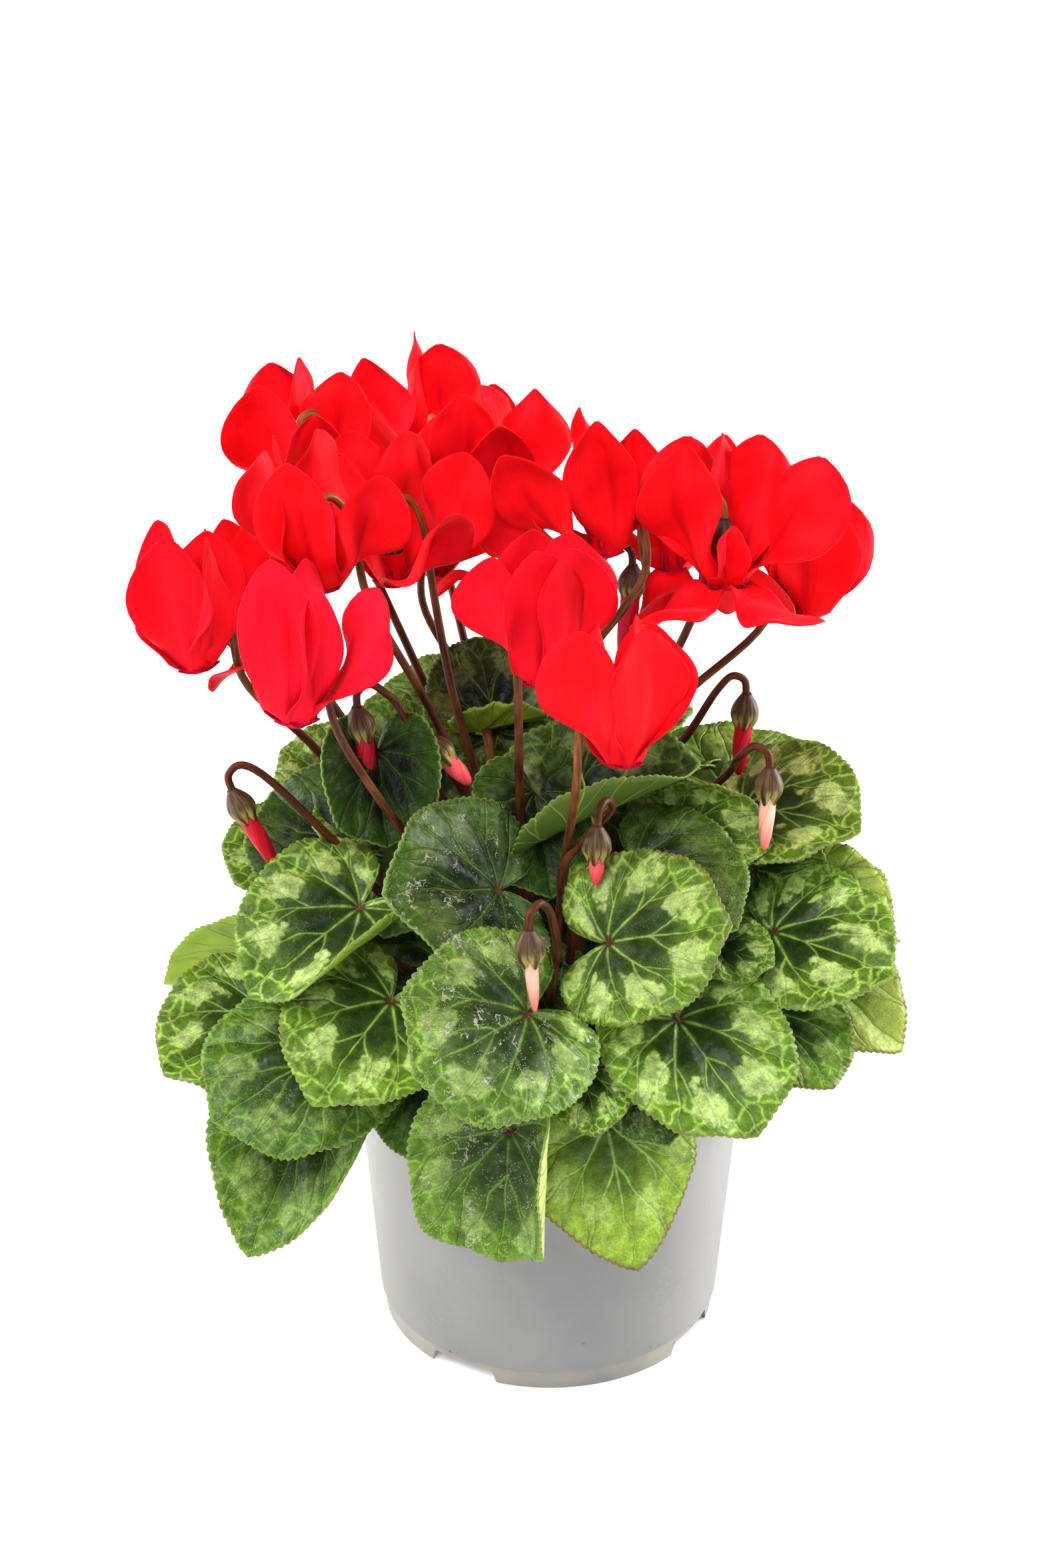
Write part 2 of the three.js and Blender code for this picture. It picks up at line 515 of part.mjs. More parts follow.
function soilGeometry() {
  const bottom = FLOOR_UNDERSIDE + POT_WALL + GAP;
  const wall = (height) => outerRadius(height) - POT_WALL - GAP;
  const top = [0.97, 0.72, 0.46].map((share) => [share * wall(SOIL_LEVEL), SOIL_LEVEL]);
  const profile = [[0, bottom], [wall(bottom), bottom], [wall(SOIL_LEVEL), SOIL_LEVEL - 0.8], ...top,
    [0, SOIL_LEVEL]];
  const geometry = weld(lathe(profile, SOIL_SIDES));
  const position = geometry.attributes.position;
  for (let k = 0; k < position.count; k += 1) {
    const x = position.getX(k);
    const y = position.getY(k);
    const z = position.getZ(k);
    if (z > SOIL_LEVEL - 0.1 && Math.hypot(x, y) > CORM.radius) {
      position.setZ(k, z + SOIL_RELIEF * Math.sin(0.31 * x + 1.3) * Math.cos(0.27 * y) - 0.4);
    }
  }
  const hollow = solidOf(lathe(cormProfile(GAP), CORM.sides));
  return geometryOf(solidOf(geometry).subtract(hollow));
}

// Pot

function potGeometry() {
  const inner = (height) => outerRadius(height) - POT_WALL;
  const floorTop = FLOOR_UNDERSIDE + POT_WALL;
  const lipRadius = outerRadius(POT_HEIGHT) + LIP_DEPTH;
  const profile = [
    [0, 0], [HUB_RADIUS, 0], [HUB_RADIUS, FLOOR_UNDERSIDE],
    [FOOT_RADIUS - POT_WALL - 0.6, FLOOR_UNDERSIDE], [FOOT_RADIUS - POT_WALL, 0],
    [FOOT_RADIUS, 0], [FOOT_RADIUS + 0.3, FOOT_HEIGHT], [outerRadius(FOOT_HEIGHT), FOOT_HEIGHT + 0.5],
    [outerRadius(POT_HEIGHT - LIP_HEIGHT), POT_HEIGHT - LIP_HEIGHT], [lipRadius, POT_HEIGHT - LIP_HEIGHT],
    [lipRadius, POT_HEIGHT], [inner(POT_HEIGHT), POT_HEIGHT], [inner(floorTop), floorTop], [0, floorTop],
  ];
  let pot = solidOf(lathe(profile, POT_SIDES));
  for (let k = 0; k < FOOT_ARCH.count; k += 1) {
    const heading = FOOT_ARCH.first + (360 * k) / FOOT_ARCH.count;
    pot = pot.subtract(footArch(heading));
  }
  for (let k = 0; k < DRAIN_HOLE.count; k += 1) {
    pot = pot.subtract(drainHole((360 * k) / DRAIN_HOLE.count));
  }
  return geometryOf(pot);
}

// An arched slot through the foot ring, wide at the ground and narrower at its top.
function footArch(heading) {
  const half = deg(FOOT_ARCH.width / 2) * FOOT_RADIUS;
  const arch = new THREE.Shape();
  arch.moveTo(-half, -1);
  arch.lineTo(half, -1);
  arch.lineTo(half, 0.3 * FOOT_ARCH.height);
  arch.lineTo(0.78 * half, FOOT_ARCH.height);
  arch.lineTo(-0.78 * half, FOOT_ARCH.height);
  arch.lineTo(-half, 0.3 * FOOT_ARCH.height);
  arch.closePath();
  const slot = new THREE.ExtrudeGeometry(arch, { depth: 12, bevelEnabled: false });
  slot.rotateX(Math.PI / 2);
  slot.translate(0, -FOOT_RADIUS + 7, 0);
  slot.rotateZ(deg(heading + 90));
  return solidOf(slot);
}

function drainHole(heading) {
  const section = regularOutline(DRAIN_HOLE.radius, DRAIN_HOLE.sides);
  const hole = new THREE.ExtrudeGeometry(section, { depth: 4, bevelEnabled: false });
  const middle = sideways(heading).multiplyScalar(DRAIN_HOLE.ring);
  hole.translate(middle.x, middle.y, FLOOR_UNDERSIDE - 1);
  return solidOf(hole);
}

// The whole plant in its pot

const plant = new THREE.Group();

function addPiece(name, geometry, colour, roughness) {
  const material = new THREE.MeshStandardMaterial({ color: colour, roughness, metalness: 0 });
  const mesh = new THREE.Mesh(geometry, material);
  mesh.name = name;
  plant.add(mesh);
}

const numbered = (name, k) => `${name}_${String(k + 1).padStart(2, '0')}`;

addPiece('pot', potGeometry(), COLOURS.pot, 0.45);
addPiece('soil', soilGeometry(), COLOURS.soil, 0.95);
addPiece('corm_with_stems', cormWithStems(), COLOURS.stem, 0.55);
LEAVES.forEach((leaf, k) => addPiece(numbered('leaf', k), leafBlade(leaf), COLOURS.leaf, 0.5));
BLOOMS.forEach((bloom, k) => addPiece(numbered('bloom', k), geometryOf(bloomSolid(bloom)), COLOURS.bloom, 0.45));
BUDS.forEach((bud, k) => addPiece(numbered('bud', k), weld(budSpike(bud)), COLOURS[bud.tint], 0.45));

export default plant;
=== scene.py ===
"""Potted cyclamen: fine leaves, blooms, buds, stems, soil and pot, set on the plain solids of the part.

The tables are in millimetres and degrees, as in the part's own source; finished meshes are in metres.
"""
import math
from collections import namedtuple
from contextlib import contextmanager

import bpy
import numpy as np
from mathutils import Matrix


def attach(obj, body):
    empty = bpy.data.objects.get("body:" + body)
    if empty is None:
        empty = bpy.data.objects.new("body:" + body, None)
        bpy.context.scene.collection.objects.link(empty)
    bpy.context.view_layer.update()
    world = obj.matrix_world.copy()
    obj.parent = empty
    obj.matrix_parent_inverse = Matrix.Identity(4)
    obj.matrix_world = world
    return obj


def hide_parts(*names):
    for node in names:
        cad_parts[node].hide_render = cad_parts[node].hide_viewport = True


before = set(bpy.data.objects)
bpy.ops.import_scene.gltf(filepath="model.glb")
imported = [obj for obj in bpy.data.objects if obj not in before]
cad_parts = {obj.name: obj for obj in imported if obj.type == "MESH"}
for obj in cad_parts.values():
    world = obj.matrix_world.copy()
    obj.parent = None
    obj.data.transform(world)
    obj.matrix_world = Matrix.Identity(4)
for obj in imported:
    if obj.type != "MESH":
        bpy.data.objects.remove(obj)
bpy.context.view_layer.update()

MM = 0.001
UPWARDS = np.array([0, 0, 1.0])

# Pot and soil
POT_HEIGHT = 92
POT_RIM_RADIUS = 60
POT_BASE_RADIUS = 52.8
POT_WALL = 1.2
POT_SIDES = 128
LIP_HEIGHT = 3
LIP_DEPTH = 0.7
FOOT_RADIUS = 52
FOOT_HEIGHT = 6.8
FLOOR_UNDERSIDE = 5.2
HUB_RADIUS = 9
ARCHES = 4
ARCH_FIRST = -121
ARCH_WIDTH = 26
ARCH_HEIGHT = 4.6
ARCH_TAPER = 0.86
ARCH_ROUNDING = 1.2
DRAIN_HOLES = 6
DRAIN_HOLE_RADIUS = 3.4
DRAIN_HOLE_RING = 33
GAP = 0.3
SOIL_LEVEL = 85
SOIL_RELIEF = 1.1
SOIL_ROUGHNESS = 1.5
PEAT_GRAINS = 900
ROOT_FIBRES = 70
FIBRE_REACH = 57

# Corm and stems
CORM_RADIUS = 17
CORM_HALF_HEIGHT = 10
CORM_CENTRE = 86
CROWN_HEIGHT = 94
ROOT_DEPTH = 2
PETIOLE_RADIUS = 1.25
PEDICEL_RADIUS = 1.4
PETIOLE_RING = 14.6
PETIOLE_RING_SLOPE = 0.055
PETIOLE_STEPS = 22
PEDICEL_SPREAD = 0.085
PEDICEL_STEPS = 8
STEM_SIDES = 12
# How far a stalk has turned from brown to olive at its upper end
PETIOLE_TONE = 0.45
BLOOM_STALK_TONE = 1
BUD_STALK_TONE = 0.3

# Leaf blade of length 1 from the notch to the tip, its outline given on one half
LEAF_OUTLINE = [
    (1, 0), (0.93, 0.13), (0.76, 0.35), (0.46, 0.55), (0.12, 0.61),
    (-0.17, 0.52), (-0.32, 0.33), (-0.3, 0.15), (-0.15, 0.05), (-0.02, 0),
]
LEAF_CENTRE = 0.12
LEAF_TEETH, BLADE_RINGS = 80, 11
YOUNG_LEAF_TEETH, YOUNG_BLADE_RINGS = 52, 8
POINTS_PER_TOOTH = 3
TOOTH_DEPTH = 0.0085
BLADE_THICKNESS = 0.6
CAD_BLADE_THICKNESS = 0.7
WAVES_ROUND_LEAF = 5
VEIN_SPACING = 0.74
VEIN_SWEEP = 0.32
QUILT_HEIGHT = 1.25
RUFFLE_HEIGHT = 0.9
STEM_SEAT = 0.05
STEM_SEAT_DEPTH = 0.9

# Bloom and bud
TUBE_LENGTH = 9
TUBE_PROFILE = [(0, 5.2), (0.9, 5), (2.2, 3), (3.0, 0.6), (3.7, -0.2), (4.1, 0.2), (4.2, 1.6), (3.9, 4),
                (3.5, 7), (3.35, TUBE_LENGTH + 0.6)]
PETAL_LENGTH = 42
PETAL_WIDTH = 21.5
PETAL_THICKNESS = 0.4
PETAL_STEPS = 26
PETAL_COLUMNS = 15
PETAL_CUP = 1.6
PETAL_BELLY = 16
PETAL_LAP = 0.7
PETAL_WAVE = 1.1
PETAL_CREASE = 0.4
PETAL_BILLOW = 1.25
PETAL_FOLD = 2.3
PETAL_SWAY = 0.8
PETAL_SINK = 0.8
# Half width of a petal, as a share of its widest, by the share of its length
PETAL_BASE = [(-0.16, 0.16), (-0.04, 0.26), (0, 0.4), (0.07, 0.5), (0.16, 0.61), (0.3, 0.78), (0.45, 0.95),
              (0.58, 1.06)]
ROUND_TIP = [(0.7, 1.07), (0.8, 0.94), (0.89, 0.7), (0.96, 0.4), (1, 0.08)]
POINTED_TIP = [(0.64, 1.06), (0.74, 0.9), (0.84, 0.6), (0.93, 0.29), (0.98, 0.12), (1, 0.03)]
SEPALS = 5
CALYX_HEIGHT = 9.6
CALYX_THICKNESS = 0.35
CALYX_SLIMNESS = 0.94
CALYX_PROFILE = [(2.8, -2.2), (2.95, -1.5), (3.2, -0.7), (3.55, 0.2), (3.95, 1.1), (4.25, 2.2), (4.4, 3.3),
                 (4.35, 4.4), (4.05, 5.7), (3.45, 7.0), (2.6, 8.3), (1.8, 9.4), (1.3, 10.2)]
BUD_PETALS = 5
SPIKE_HEIGHT = 16
SPIKE_RADIUS = 2.6
SPIKE_PROFILE = [(0, 1.02), (0.15, 0.98), (0.35, 1), (0.55, 0.93), (0.72, 0.78), (0.86, 0.58), (0.95, 0.4),
                 (0.985, 0.26), (1, 0.02)]
HEAD_SIDES = 60

# look: yellowness of the green, amount of silver marbling, dry wear, redness of the toothed edge
# curl: how far the left and the right half roll up; arch: lifts the petiole; blunt: shortens the tip
# A low yellowness darkens a blade: its own dark tone, and painted shade on leaves deep in the mound
Leaf = namedtuple("Leaf", "at heading rise roll size look fold curl bend wave arch blunt",
                  defaults=(5, (6, 6), 10, 1.2, 0, 0.05))
Bloom = namedtuple("Bloom", "at lean stem via petals tint", defaults=(0.15,))
Petal = namedtuple("Petal", "heading flare turn wide long", defaults=(1, 1))
Bud = namedtuple("Bud", "at lean stem spike tint via")

LEAVES = [
    Leaf((-7, -83, 148), -136, -4, -46, 45, (0.3, 0.5, 0.6, 0.2), fold=4, curl=(4, -4), wave=1.8, blunt=0.1),
    Leaf((15, -67, 161), -24, 20, 46, 41, (0.45, 0.8, 0.1, 0.6), curl=(10, -8), bend=6, wave=0.8, blunt=0.08),
    Leaf((35, -64, 135), -52, -28, 14, 44, (0.5, 0.8, 0, 0.5), curl=(-4, -6), bend=8, wave=1, blunt=0.09),
    Leaf((64, -30, 145), -38, 0, 26, 42, (0.35, 1, 0, 0.4), curl=(6, -4), bend=8, wave=1),
    Leaf((15, -80, 111), -42, -75, 30, 42, (1.25, 0.4, 0, 0.9), fold=-4, curl=(-6, -8), bend=-6, wave=1,
         blunt=-0.05),
    Leaf((-12, -85, 112), -105, -81, 0, 46, (0.5, 0.3, 0.45, 0.1), fold=8, curl=(98, 24), bend=-6, wave=0.6,
         blunt=0.16),
    Leaf((-45, -62, 140), -121, -17, -22, 42, (0.55, 0.85, 0, 0.5), curl=(6, 0), wave=1),
    Leaf((-62, -55, 121), -147, -14, -30, 45, (0.22, 0.3, 0.2, 0.2), fold=4, curl=(-12, -10), blunt=0.1),
    Leaf((-83, -30, 117), -137, -7, -22, 40, (0.45, 0.9, 0, 0.6), fold=8, curl=(6, 8), bend=6, wave=1),
    Leaf((-68, -45, 96), -120, -37, -18, 46, (0.36, 0.3, 0.3, 0.3), fold=10, curl=(62, 10), arch=14,
         blunt=-0.05),
    Leaf((-80, 4, 118), 180, -12, 62, 41, (0.6, 0.4, 0, 0.3), fold=4, curl=(0, 10), bend=4, wave=0.8),
    Leaf((-54, -46, 161), -140, -19, -28, 43, (0.26, 1, 0.15, 0.3), fold=6, curl=(96, 4), bend=8, wave=0.6),
    Leaf((-73, 13, 153), -130, -4, -15, 33, (0.4, 0.8, 0, 0.5), curl=(8, 8), bend=6, wave=1),
    Leaf((-57, -22, 164), 142, 22, -40, 40, (0.0, 0.1, 0.12, 0.2), fold=4, curl=(4, 6), wave=1.4, blunt=0.08),
    Leaf((-15, -41, 164), -140, 18, -50, 44, (0.1, 0.16, 0.6, 0.1), fold=6, bend=6, wave=2, blunt=0.08),
    Leaf((3, -18, 174), 8, 24, 30, 46, (0.06, 0.5, 0.1, 0.3), fold=30, curl=(6, 84), bend=6, wave=0.6),
    Leaf((36, -15, 168), -20, 8, 34, 31, (0.5, 0.7, 0, 0.5), fold=10, curl=(96, 6), bend=4, wave=0.8),
    Leaf((24, -32, 168), -44, -10, 26, 40, (0.15, 0.2, 0.3, 0.3), fold=6, curl=(-14, -10), wave=0.8),
    Leaf((57, 0, 171), -40, 10, 26, 42, (0.35, 0.9, 0, 0.5), curl=(4, 4), wave=1),
    Leaf((54, 28, 164), 40, 8, 10, 42, (0.9, 0.4, 0, 0.5), curl=(6, 4), wave=1),
    Leaf((76, 2, 144), -42, -24, 14, 35, (1.5, 0.4, 0, 0.6), curl=(4, 4), bend=8, wave=1, blunt=-0.05),
    Leaf((64, -38, 123), -55, -22, 10, 32, (0.45, 0.3, 0, 0.8), fold=4, curl=(-6, -6), bend=8, wave=1),
    Leaf((76, -8, 124), -34, -28, 20, 38, (1.7, 0.2, 0, 0.7), fold=4, curl=(-6, -6), bend=8, wave=1,
         blunt=-0.05),
    Leaf((-35, -56, 113), -98, -58, 0, 28, (0.15, 0.1, 0, 0.3), fold=4, curl=(8, 8), bend=6, wave=0.8),
    Leaf((-16, 12, 190), 106, 44, -6, 34, (0.02, 0.35, 0, 0.3), curl=(4, 24), wave=1),
    Leaf((-28, 42, 182), 158, 4, -25, 34, (0.5, 0.1, 0, 0.3), bend=12, wave=1),
    Leaf((-43, 18, 180), 180, -8, -58, 28, (0.45, 0.3, 0, 0.4), fold=8, curl=(14, 14), bend=8, wave=0.8),
    Leaf((14, 38, 180), 60, 4, 6, 42, (0.35, 0.8, 0.1, 0.4), fold=6, curl=(8, 8), bend=12),
    Leaf((-12, 62, 152), 100, -24, 0, 44, (0.45, 0.7, 0, 0.5), bend=12),
    Leaf((38, 58, 142), 60, -22, 0, 44, (0.4, 0.85, 0, 0.4), bend=12),
    Leaf((-54, 52, 138), 132, -22, 0, 44, (0.3, 0.6, 0.2, 0.3), bend=12),
    Leaf((78, 34, 122), 24, -24, 0, 42, (0.5, 0.8, 0, 0.5), bend=12),
    Leaf((12, 78, 116), 86, -40, 0, 42, (0.4, 0.75, 0, 0.6), bend=12),
    Leaf((8, -76, 127), -76, -35, 6, 22, (0.5, 0.9, 0, 0.5), fold=4, bend=8, wave=0.6),
]
# Young leaves between and under the others, which the solids leave out
# Those deep in the mound have dark looks, which are painted shade of the plant's interior
SMALL_LEAVES = [
    Leaf((22, -66, 120), -60, -30, 10, 26, (0.1, 0.15, 0.4, 0.3), bend=8, wave=1),
    Leaf((-20, 8, 192), -15, 24, -30, 22, (0.6, 0.6, 0, 0.2), curl=(8, 30), bend=8, wave=1),
    Leaf((-52, -4, 166), -120, 12, -20, 26, (0.3, 0.5, 0.1, 0.3), fold=6, bend=8, wave=1),
    Leaf((-60, 14, 171), 150, 16, -40, 28, (0.6, 0.7, 0, 0.3), bend=8, wave=1),
    Leaf((46, -44, 148), -30, -6, 24, 20, (0.35, 0.7, 0, 0.4), bend=6, wave=0.8),
    Leaf((60, -10, 155), -30, 0, 60, 26, (0.5, 0.4, 0, 0.5), fold=6, curl=(8, 8), bend=8, wave=1),
    Leaf((79, -4, 147), -42, -18, 20, 27, (1.5, 0.4, 0, 0.5), bend=8, wave=1, blunt=-0.05),
    Leaf((32, 44, 162), 20, 20, 0, 28, (0.95, 0.3, 0, 0.4), bend=8, wave=1),
    # Dark inner leaves low in the mound: their dark looks are painted shade
    Leaf((-30, -28, 132), -150, -14, -10, 38, (0.1, 0.2, 0.2, 0.3), curl=(8, 8), wave=1),
    Leaf((-8, -28, 128), -95, -24, 0, 36, (0.1, 0.15, 0.2, 0.3), curl=(8, 8), wave=1),
    Leaf((22, -24, 128), -50, -16, 8, 38, (0.1, 0.2, 0.2, 0.3), curl=(8, 8), wave=1),
    Leaf((40, -8, 134), -18, -8, 8, 38, (0.15, 0.3, 0.1, 0.3), curl=(8, 8), wave=1),
    Leaf((-52, 2, 132), 170, -12, -8, 38, (0.15, 0.3, 0.1, 0.3), curl=(8, 8), wave=1),
    Leaf((-14, 34, 146), 130, -8, 0, 38, (0.3, 0.6, 0.1, 0.4), curl=(8, 8), bend=12, wave=1),
    Leaf((30, 30, 150), 35, -4, 0, 36, (0.35, 0.6, 0.1, 0.4), curl=(8, 8), bend=12, wave=1),
    # Dark inner leaves under the blooms, down to the near-black cupped one: their dark looks are painted
    # shade
    Leaf((-8, 10, 166), -90, -52, 0, 34, (0.1, 0.15, 0.2, 0.3), curl=(8, 8), bend=8, wave=1),
    Leaf((14, 6, 166), -80, -50, 8, 34, (0.1, 0.15, 0.2, 0.3), curl=(8, 8), bend=8, wave=1),
    Leaf((44, 0, 158), -60, -38, 10, 34, (0.15, 0.3, 0.1, 0.3), curl=(8, 8), bend=8, wave=1),
    Leaf((-38, 0, 160), -118, -42, -8, 34, (0.15, 0.3, 0.1, 0.3), curl=(8, 8), bend=8, wave=1),
    Leaf((-30, 30, 184), -95, -35, 0, 34, (0.1, 0.3, 0.2, 0.2), curl=(8, 8), bend=8),
    Leaf((-49, -24, 199), -80, -60, 0, 31, (0.03, 0.04, 0, 0.1), fold=14, curl=(34, 22), bend=6, wave=1,
         blunt=0.12),
    Leaf((-5, -14, 182), -72, -55, 0, 34, (0.06, 0.1, 0.1, 0.2), fold=8, curl=(96, 8), bend=6, wave=1,
         blunt=0.08),
    Leaf((8, 6, 143), -90, -52, 0, 36, (0.05, 0.1, 0.2, 0.2), curl=(8, 8), bend=8),
    Leaf((-40, 66, 110), 118, -38, 0, 38, (0.4, 0.8, 0, 0.5), bend=12),
    Leaf((4, 58, 152), 84, -34, 0, 38, (0.3, 0.5, 0.1, 0.4), curl=(8, 6), bend=14),
    Leaf((30, 46, 166), 56, -26, 6, 38, (0.4, 0.85, 0, 0.4), curl=(6, 8), bend=14),
    Leaf((-34, 50, 164), 124, -28, -6, 38, (0.35, 0.8, 0, 0.4), bend=12),
    Leaf((60, 42, 150), 36, -32, 6, 36, (0.25, 0.4, 0.1, 0.4), bend=14),
    Leaf((-62, 34, 150), 150, -32, 0, 36, (0.4, 0.85, 0, 0.5), bend=12),
    Leaf((62, 20, 150), 12, -44, 0, 30, (0.35, 0.8, 0, 0.5), bend=12),
    Leaf((66, 8, 126), 4, -50, 0, 34, (0.2, 0.3, 0.1, 0.4), bend=12),
    Leaf((52, 40, 126), 40, -52, 0, 36, (0.4, 0.8, 0, 0.4)),
    Leaf((-6, 64, 126), 94, -54, 0, 36, (0.3, 0.7, 0, 0.4)),
    Leaf((-44, 50, 130), 132, -50, 0, 36, (0.2, 0.4, 0.1, 0.4)),
    Leaf((-68, 18, 138), 168, -45, 0, 32, (0.4, 0.8, 0, 0.4)),
    Leaf((28, 60, 122), 64, -54, 0, 36, (0.3, 0.5, 0.1, 0.5)),
    Leaf((60, -20, 120), -14, -50, 0, 34, (0.25, 0.4, 0.1, 0.4)),
    Leaf((50, -14, 142), -4, -34, 0, 34, (0.2, 0.3, 0.1, 0.4)),
    Leaf((-66, -6, 142), 188, -42, 0, 32, (0.3, 0.4, 0.1, 0.4)),
    Leaf((52, 62, 108), 52, -40, 0, 38, (0.35, 0.75, 0, 0.5), bend=12),
    Leaf((-74, 34, 112), 152, -30, 0, 38, (0.4, 0.7, 0, 0.4), bend=12),
]
BLOOMS = [
    Bloom((-100, -15, 221), (6, 180), 8, [(-44, -2, 150), (-68, 8, 184)],
          [(-85, 4, 10), (150, 4, 40, 0.9, 0.9), (135, 9, 10, 0.9), (60, 10, 30, 1, 0.9),
           (-50, 12, 55, 0.9)], 0.45),
    Bloom((-84, 20, 210), (8, 200), 10, [(-36, 18, 150), (-62, 28, 186)],
          [(125, 10, 20), (-95, 66, 10, 1, 0.85), (150, 10, 40, 0.9), (90, 6, 10), (-60, 18, 30)]),
    Bloom((-68, -60, 224), (4, 180), 45, [(-26, -24, 150), (-42, -40, 182)],
          [(-75, 9, -12, 0.9, 1.2), (60, 12, 60, 0.6), (0, 30, 40, 1.05, 0.97), (-40, 12, 10, 0.7),
           (130, 6, 30, 1, 0.9)], 1),
    Bloom((-72, 40, 253), (6, 170), 30, [(-22, 10, 152), (-31, 16, 186)],
          [(-125, 10, 40, 1, 0.9), (100, 13, -10, 1, 0.95), (88, 13, 80, 0.8, 0.95), (30, 16, 60, 0.95, 0.88),
           (-75, 34, 10, 0.9, 0.9)]),
    Bloom((-62, -34, 252), (6, 190), 30, [(-20, -7, 160), (-32, -10, 200)],
          [(-165, 8, 20), (140, 10, 40), (-110, 14, 20, 0.92), (-10, 26, -55, 0.9, 0.83), (85, 10, 75, 0.9)]),
    Bloom((-45, 8, 238), (4, 180), 30, [(-16, -1, 160), (-28, 0, 205)],
          [(130, 12, -40, 1, 1.05), (-150, 10, 30), (0, 27, 70, 1.1, 1), (65, 13, 60), (-55, 46, 20)]),
    Bloom((-34, 77, 243), (4, 180), -95, [(-14, 26, 150), (-24, 44, 196)],
          [(175, 20, 100, 1.05, 1.1), (-154, 30, 40), (110, 8, 80, 0.75, 1.15), (100, 8, -10, 1, 1.06),
           (-30, 25, -60, 0.9, 0.95)]),
    Bloom((-18, 35, 251), (4, 150), -20, [(-8, 24, 160), (-16, 44, 205)],
          [(-110, 13, 40, 0.9, 0.93), (10, 17, 60, 1, 0.87), (-80, 30, 0, 0.9, 0.85), (150, 8, -40, 1, 0.75),
           (95, 6, 40, 0.9, 0.85)]),
    Bloom((15, 5, 248), (5, 150), -20, [(4, 6, 160), (4, 4, 205)],
          [(-110, 6, 15, 0.92, 0.98), (20, 12, 60, 0.9, 0.85), (-165, 35, 60, 1, 0.97),
           (178, 60, 80, 0.9, 0.9), (120, 14, 70, 0.8, 0.97)]),
    Bloom((38, 45, 229), (10, 170), -145, [(8, 14, 160), (18, 26, 195)],
          [(105, 10, 80, 0.9, 0.92), (60, 14, 60, 1, 0.9), (150, 30, 80, 1, 0.95), (-105, 92, 10, 1.1, 0.9),
           (10, 24, 40)]),
    Bloom((48, -14, 245), (6, 100), 120, [(14, 6, 160), (28, 4, 200)],
          [(140, 12, -50), (-150, 11, 55, 1.05), (85, 9, 80), (50, 16, 20), (5, 31, 60, 1.1),
           (-130, 94, 10, 1, 0.78), (-60, 93, 0, 1, 0.85), (-80, 18, 30, 0.45, 0.5)]),
    Bloom((72, 16, 224), (8, 20), 130, [(18, 10, 160), (34, 12, 195)],
          [(-105, 10, 20, 1.1), (30, 4, 50, 0.9, 0.9), (110, 8, -20, 1, 0.95), (165, 14, 70),
           (-130, 55, 20)]),
    Bloom((-3, -42, 228), (4, 200), 125, [(-7, -14, 155), (-9, -24, 185)],
          [(-165, 9, 50, 1, 0.9), (-72, 8, 0), (-35, 12, -40, 0.95), (5, 8, 55), (70, 8, 20, 1, 0.97)], 0.6),
    Bloom((18, -72, 217), (3, 100), 180, [(2, -34, 148), (4, -52, 182)],
          [(-135, 16, 30), (-60, 11, -10, 1.05), (20, 4, 40, 0.9, 0.92), (65, 10, 80, 0.6, 0.92),
           (120, 8, 40, 0.8, 0.87)], 0.12),
    Bloom((-34, 50, 226), (6, -60), -110, [(-10, 24, 150), (-24, 40, 190)],
          [(-60, 62, 0, 0.9, 0.6), (10, 14, 30, 1, 0.87), (70, 12, 40, 1, 0.87), (130, 12, 40, 1, 0.87),
           (-170, 14, 30, 1, 0.87)]),
]
BUDS = [
    Bud((-86, -30, 181), (26, 180), 10, (1.1, 0.98), "red", [(-34, -16, 140), (-60, -30, 172)]),
    Bud((-53, -26, 204), (10, 180), 10, (0.8, 1), "red", [(-18, -14, 150), (-34, -22, 190), (-43, -22, 212)]),
    Bud((-29, -22, 195), (44, 165), 120, (0.55, 1), "coral", [(-16, -8, 150), (-26, -8, 180)]),
    Bud((12, -58, 182), (2, 90), 60, (0.5, 0.8), "coral", [(6, -32, 145), (3, -54, 178)]),
    Bud((-6, -86, 165), (4, 180), 50, (0.95, 0.68), "pale", [(0, -50, 140), (1, -77, 166)]),
    Bud((56, 0, 197), (4, 20), -165, (1, 1), "red", [(24, 8, 168), (40, 4, 192)]),
    Bud((61, -30, 187), (2, 20), 160, (1, 0.88), "pale", [(28, 2, 155), (51, -3, 182)]),
    Bud((23, 15, 231), (4, 0), 160, (1.6, 1.1), "red", [(8, 10, 165), (12, 16, 210)]),
]


# Directions and curves

def unit(vector):
    return vector / np.linalg.norm(vector)


def sideways(heading):
    angle = math.radians(heading)
    return np.array([math.cos(angle), math.sin(angle), 0.0])


def turned(vector, axis, angle):
    """The vector turned about a unit axis by an angle in degrees."""
    angle = math.radians(angle)
    return (vector * math.cos(angle) + np.cross(axis, vector) * math.sin(angle)
            + axis * np.dot(axis, vector) * (1 - math.cos(angle)))


def level_to(axis, heading):
    """The heading's direction, laid square to the axis."""
    direction = sideways(heading)
    return unit(direction - axis * np.dot(direction, axis))


def smooth(value, low, high):
    share = np.clip((value - low) / (high - low), 0, 1)
    return share * share * (3 - 2 * share)


def bezier(points, count):
    """Points along a Bezier curve of any degree."""
    t = np.linspace(0, 1, count)[:, None]
    degree = len(points) - 1
    return sum(math.comb(degree, k) * (1 - t) ** (degree - k) * t ** k * np.asarray(p, float)
               for k, p in enumerate(points))


def cubic(start, end, leave, arrive, t):
    """Between two points, leaving the first and reaching the second along the given vectors."""
    return (start + leave * t + (3 * (end - start) - 2 * leave - arrive) * t ** 2
            + (2 * (start - end) + leave + arrive) * t ** 3)


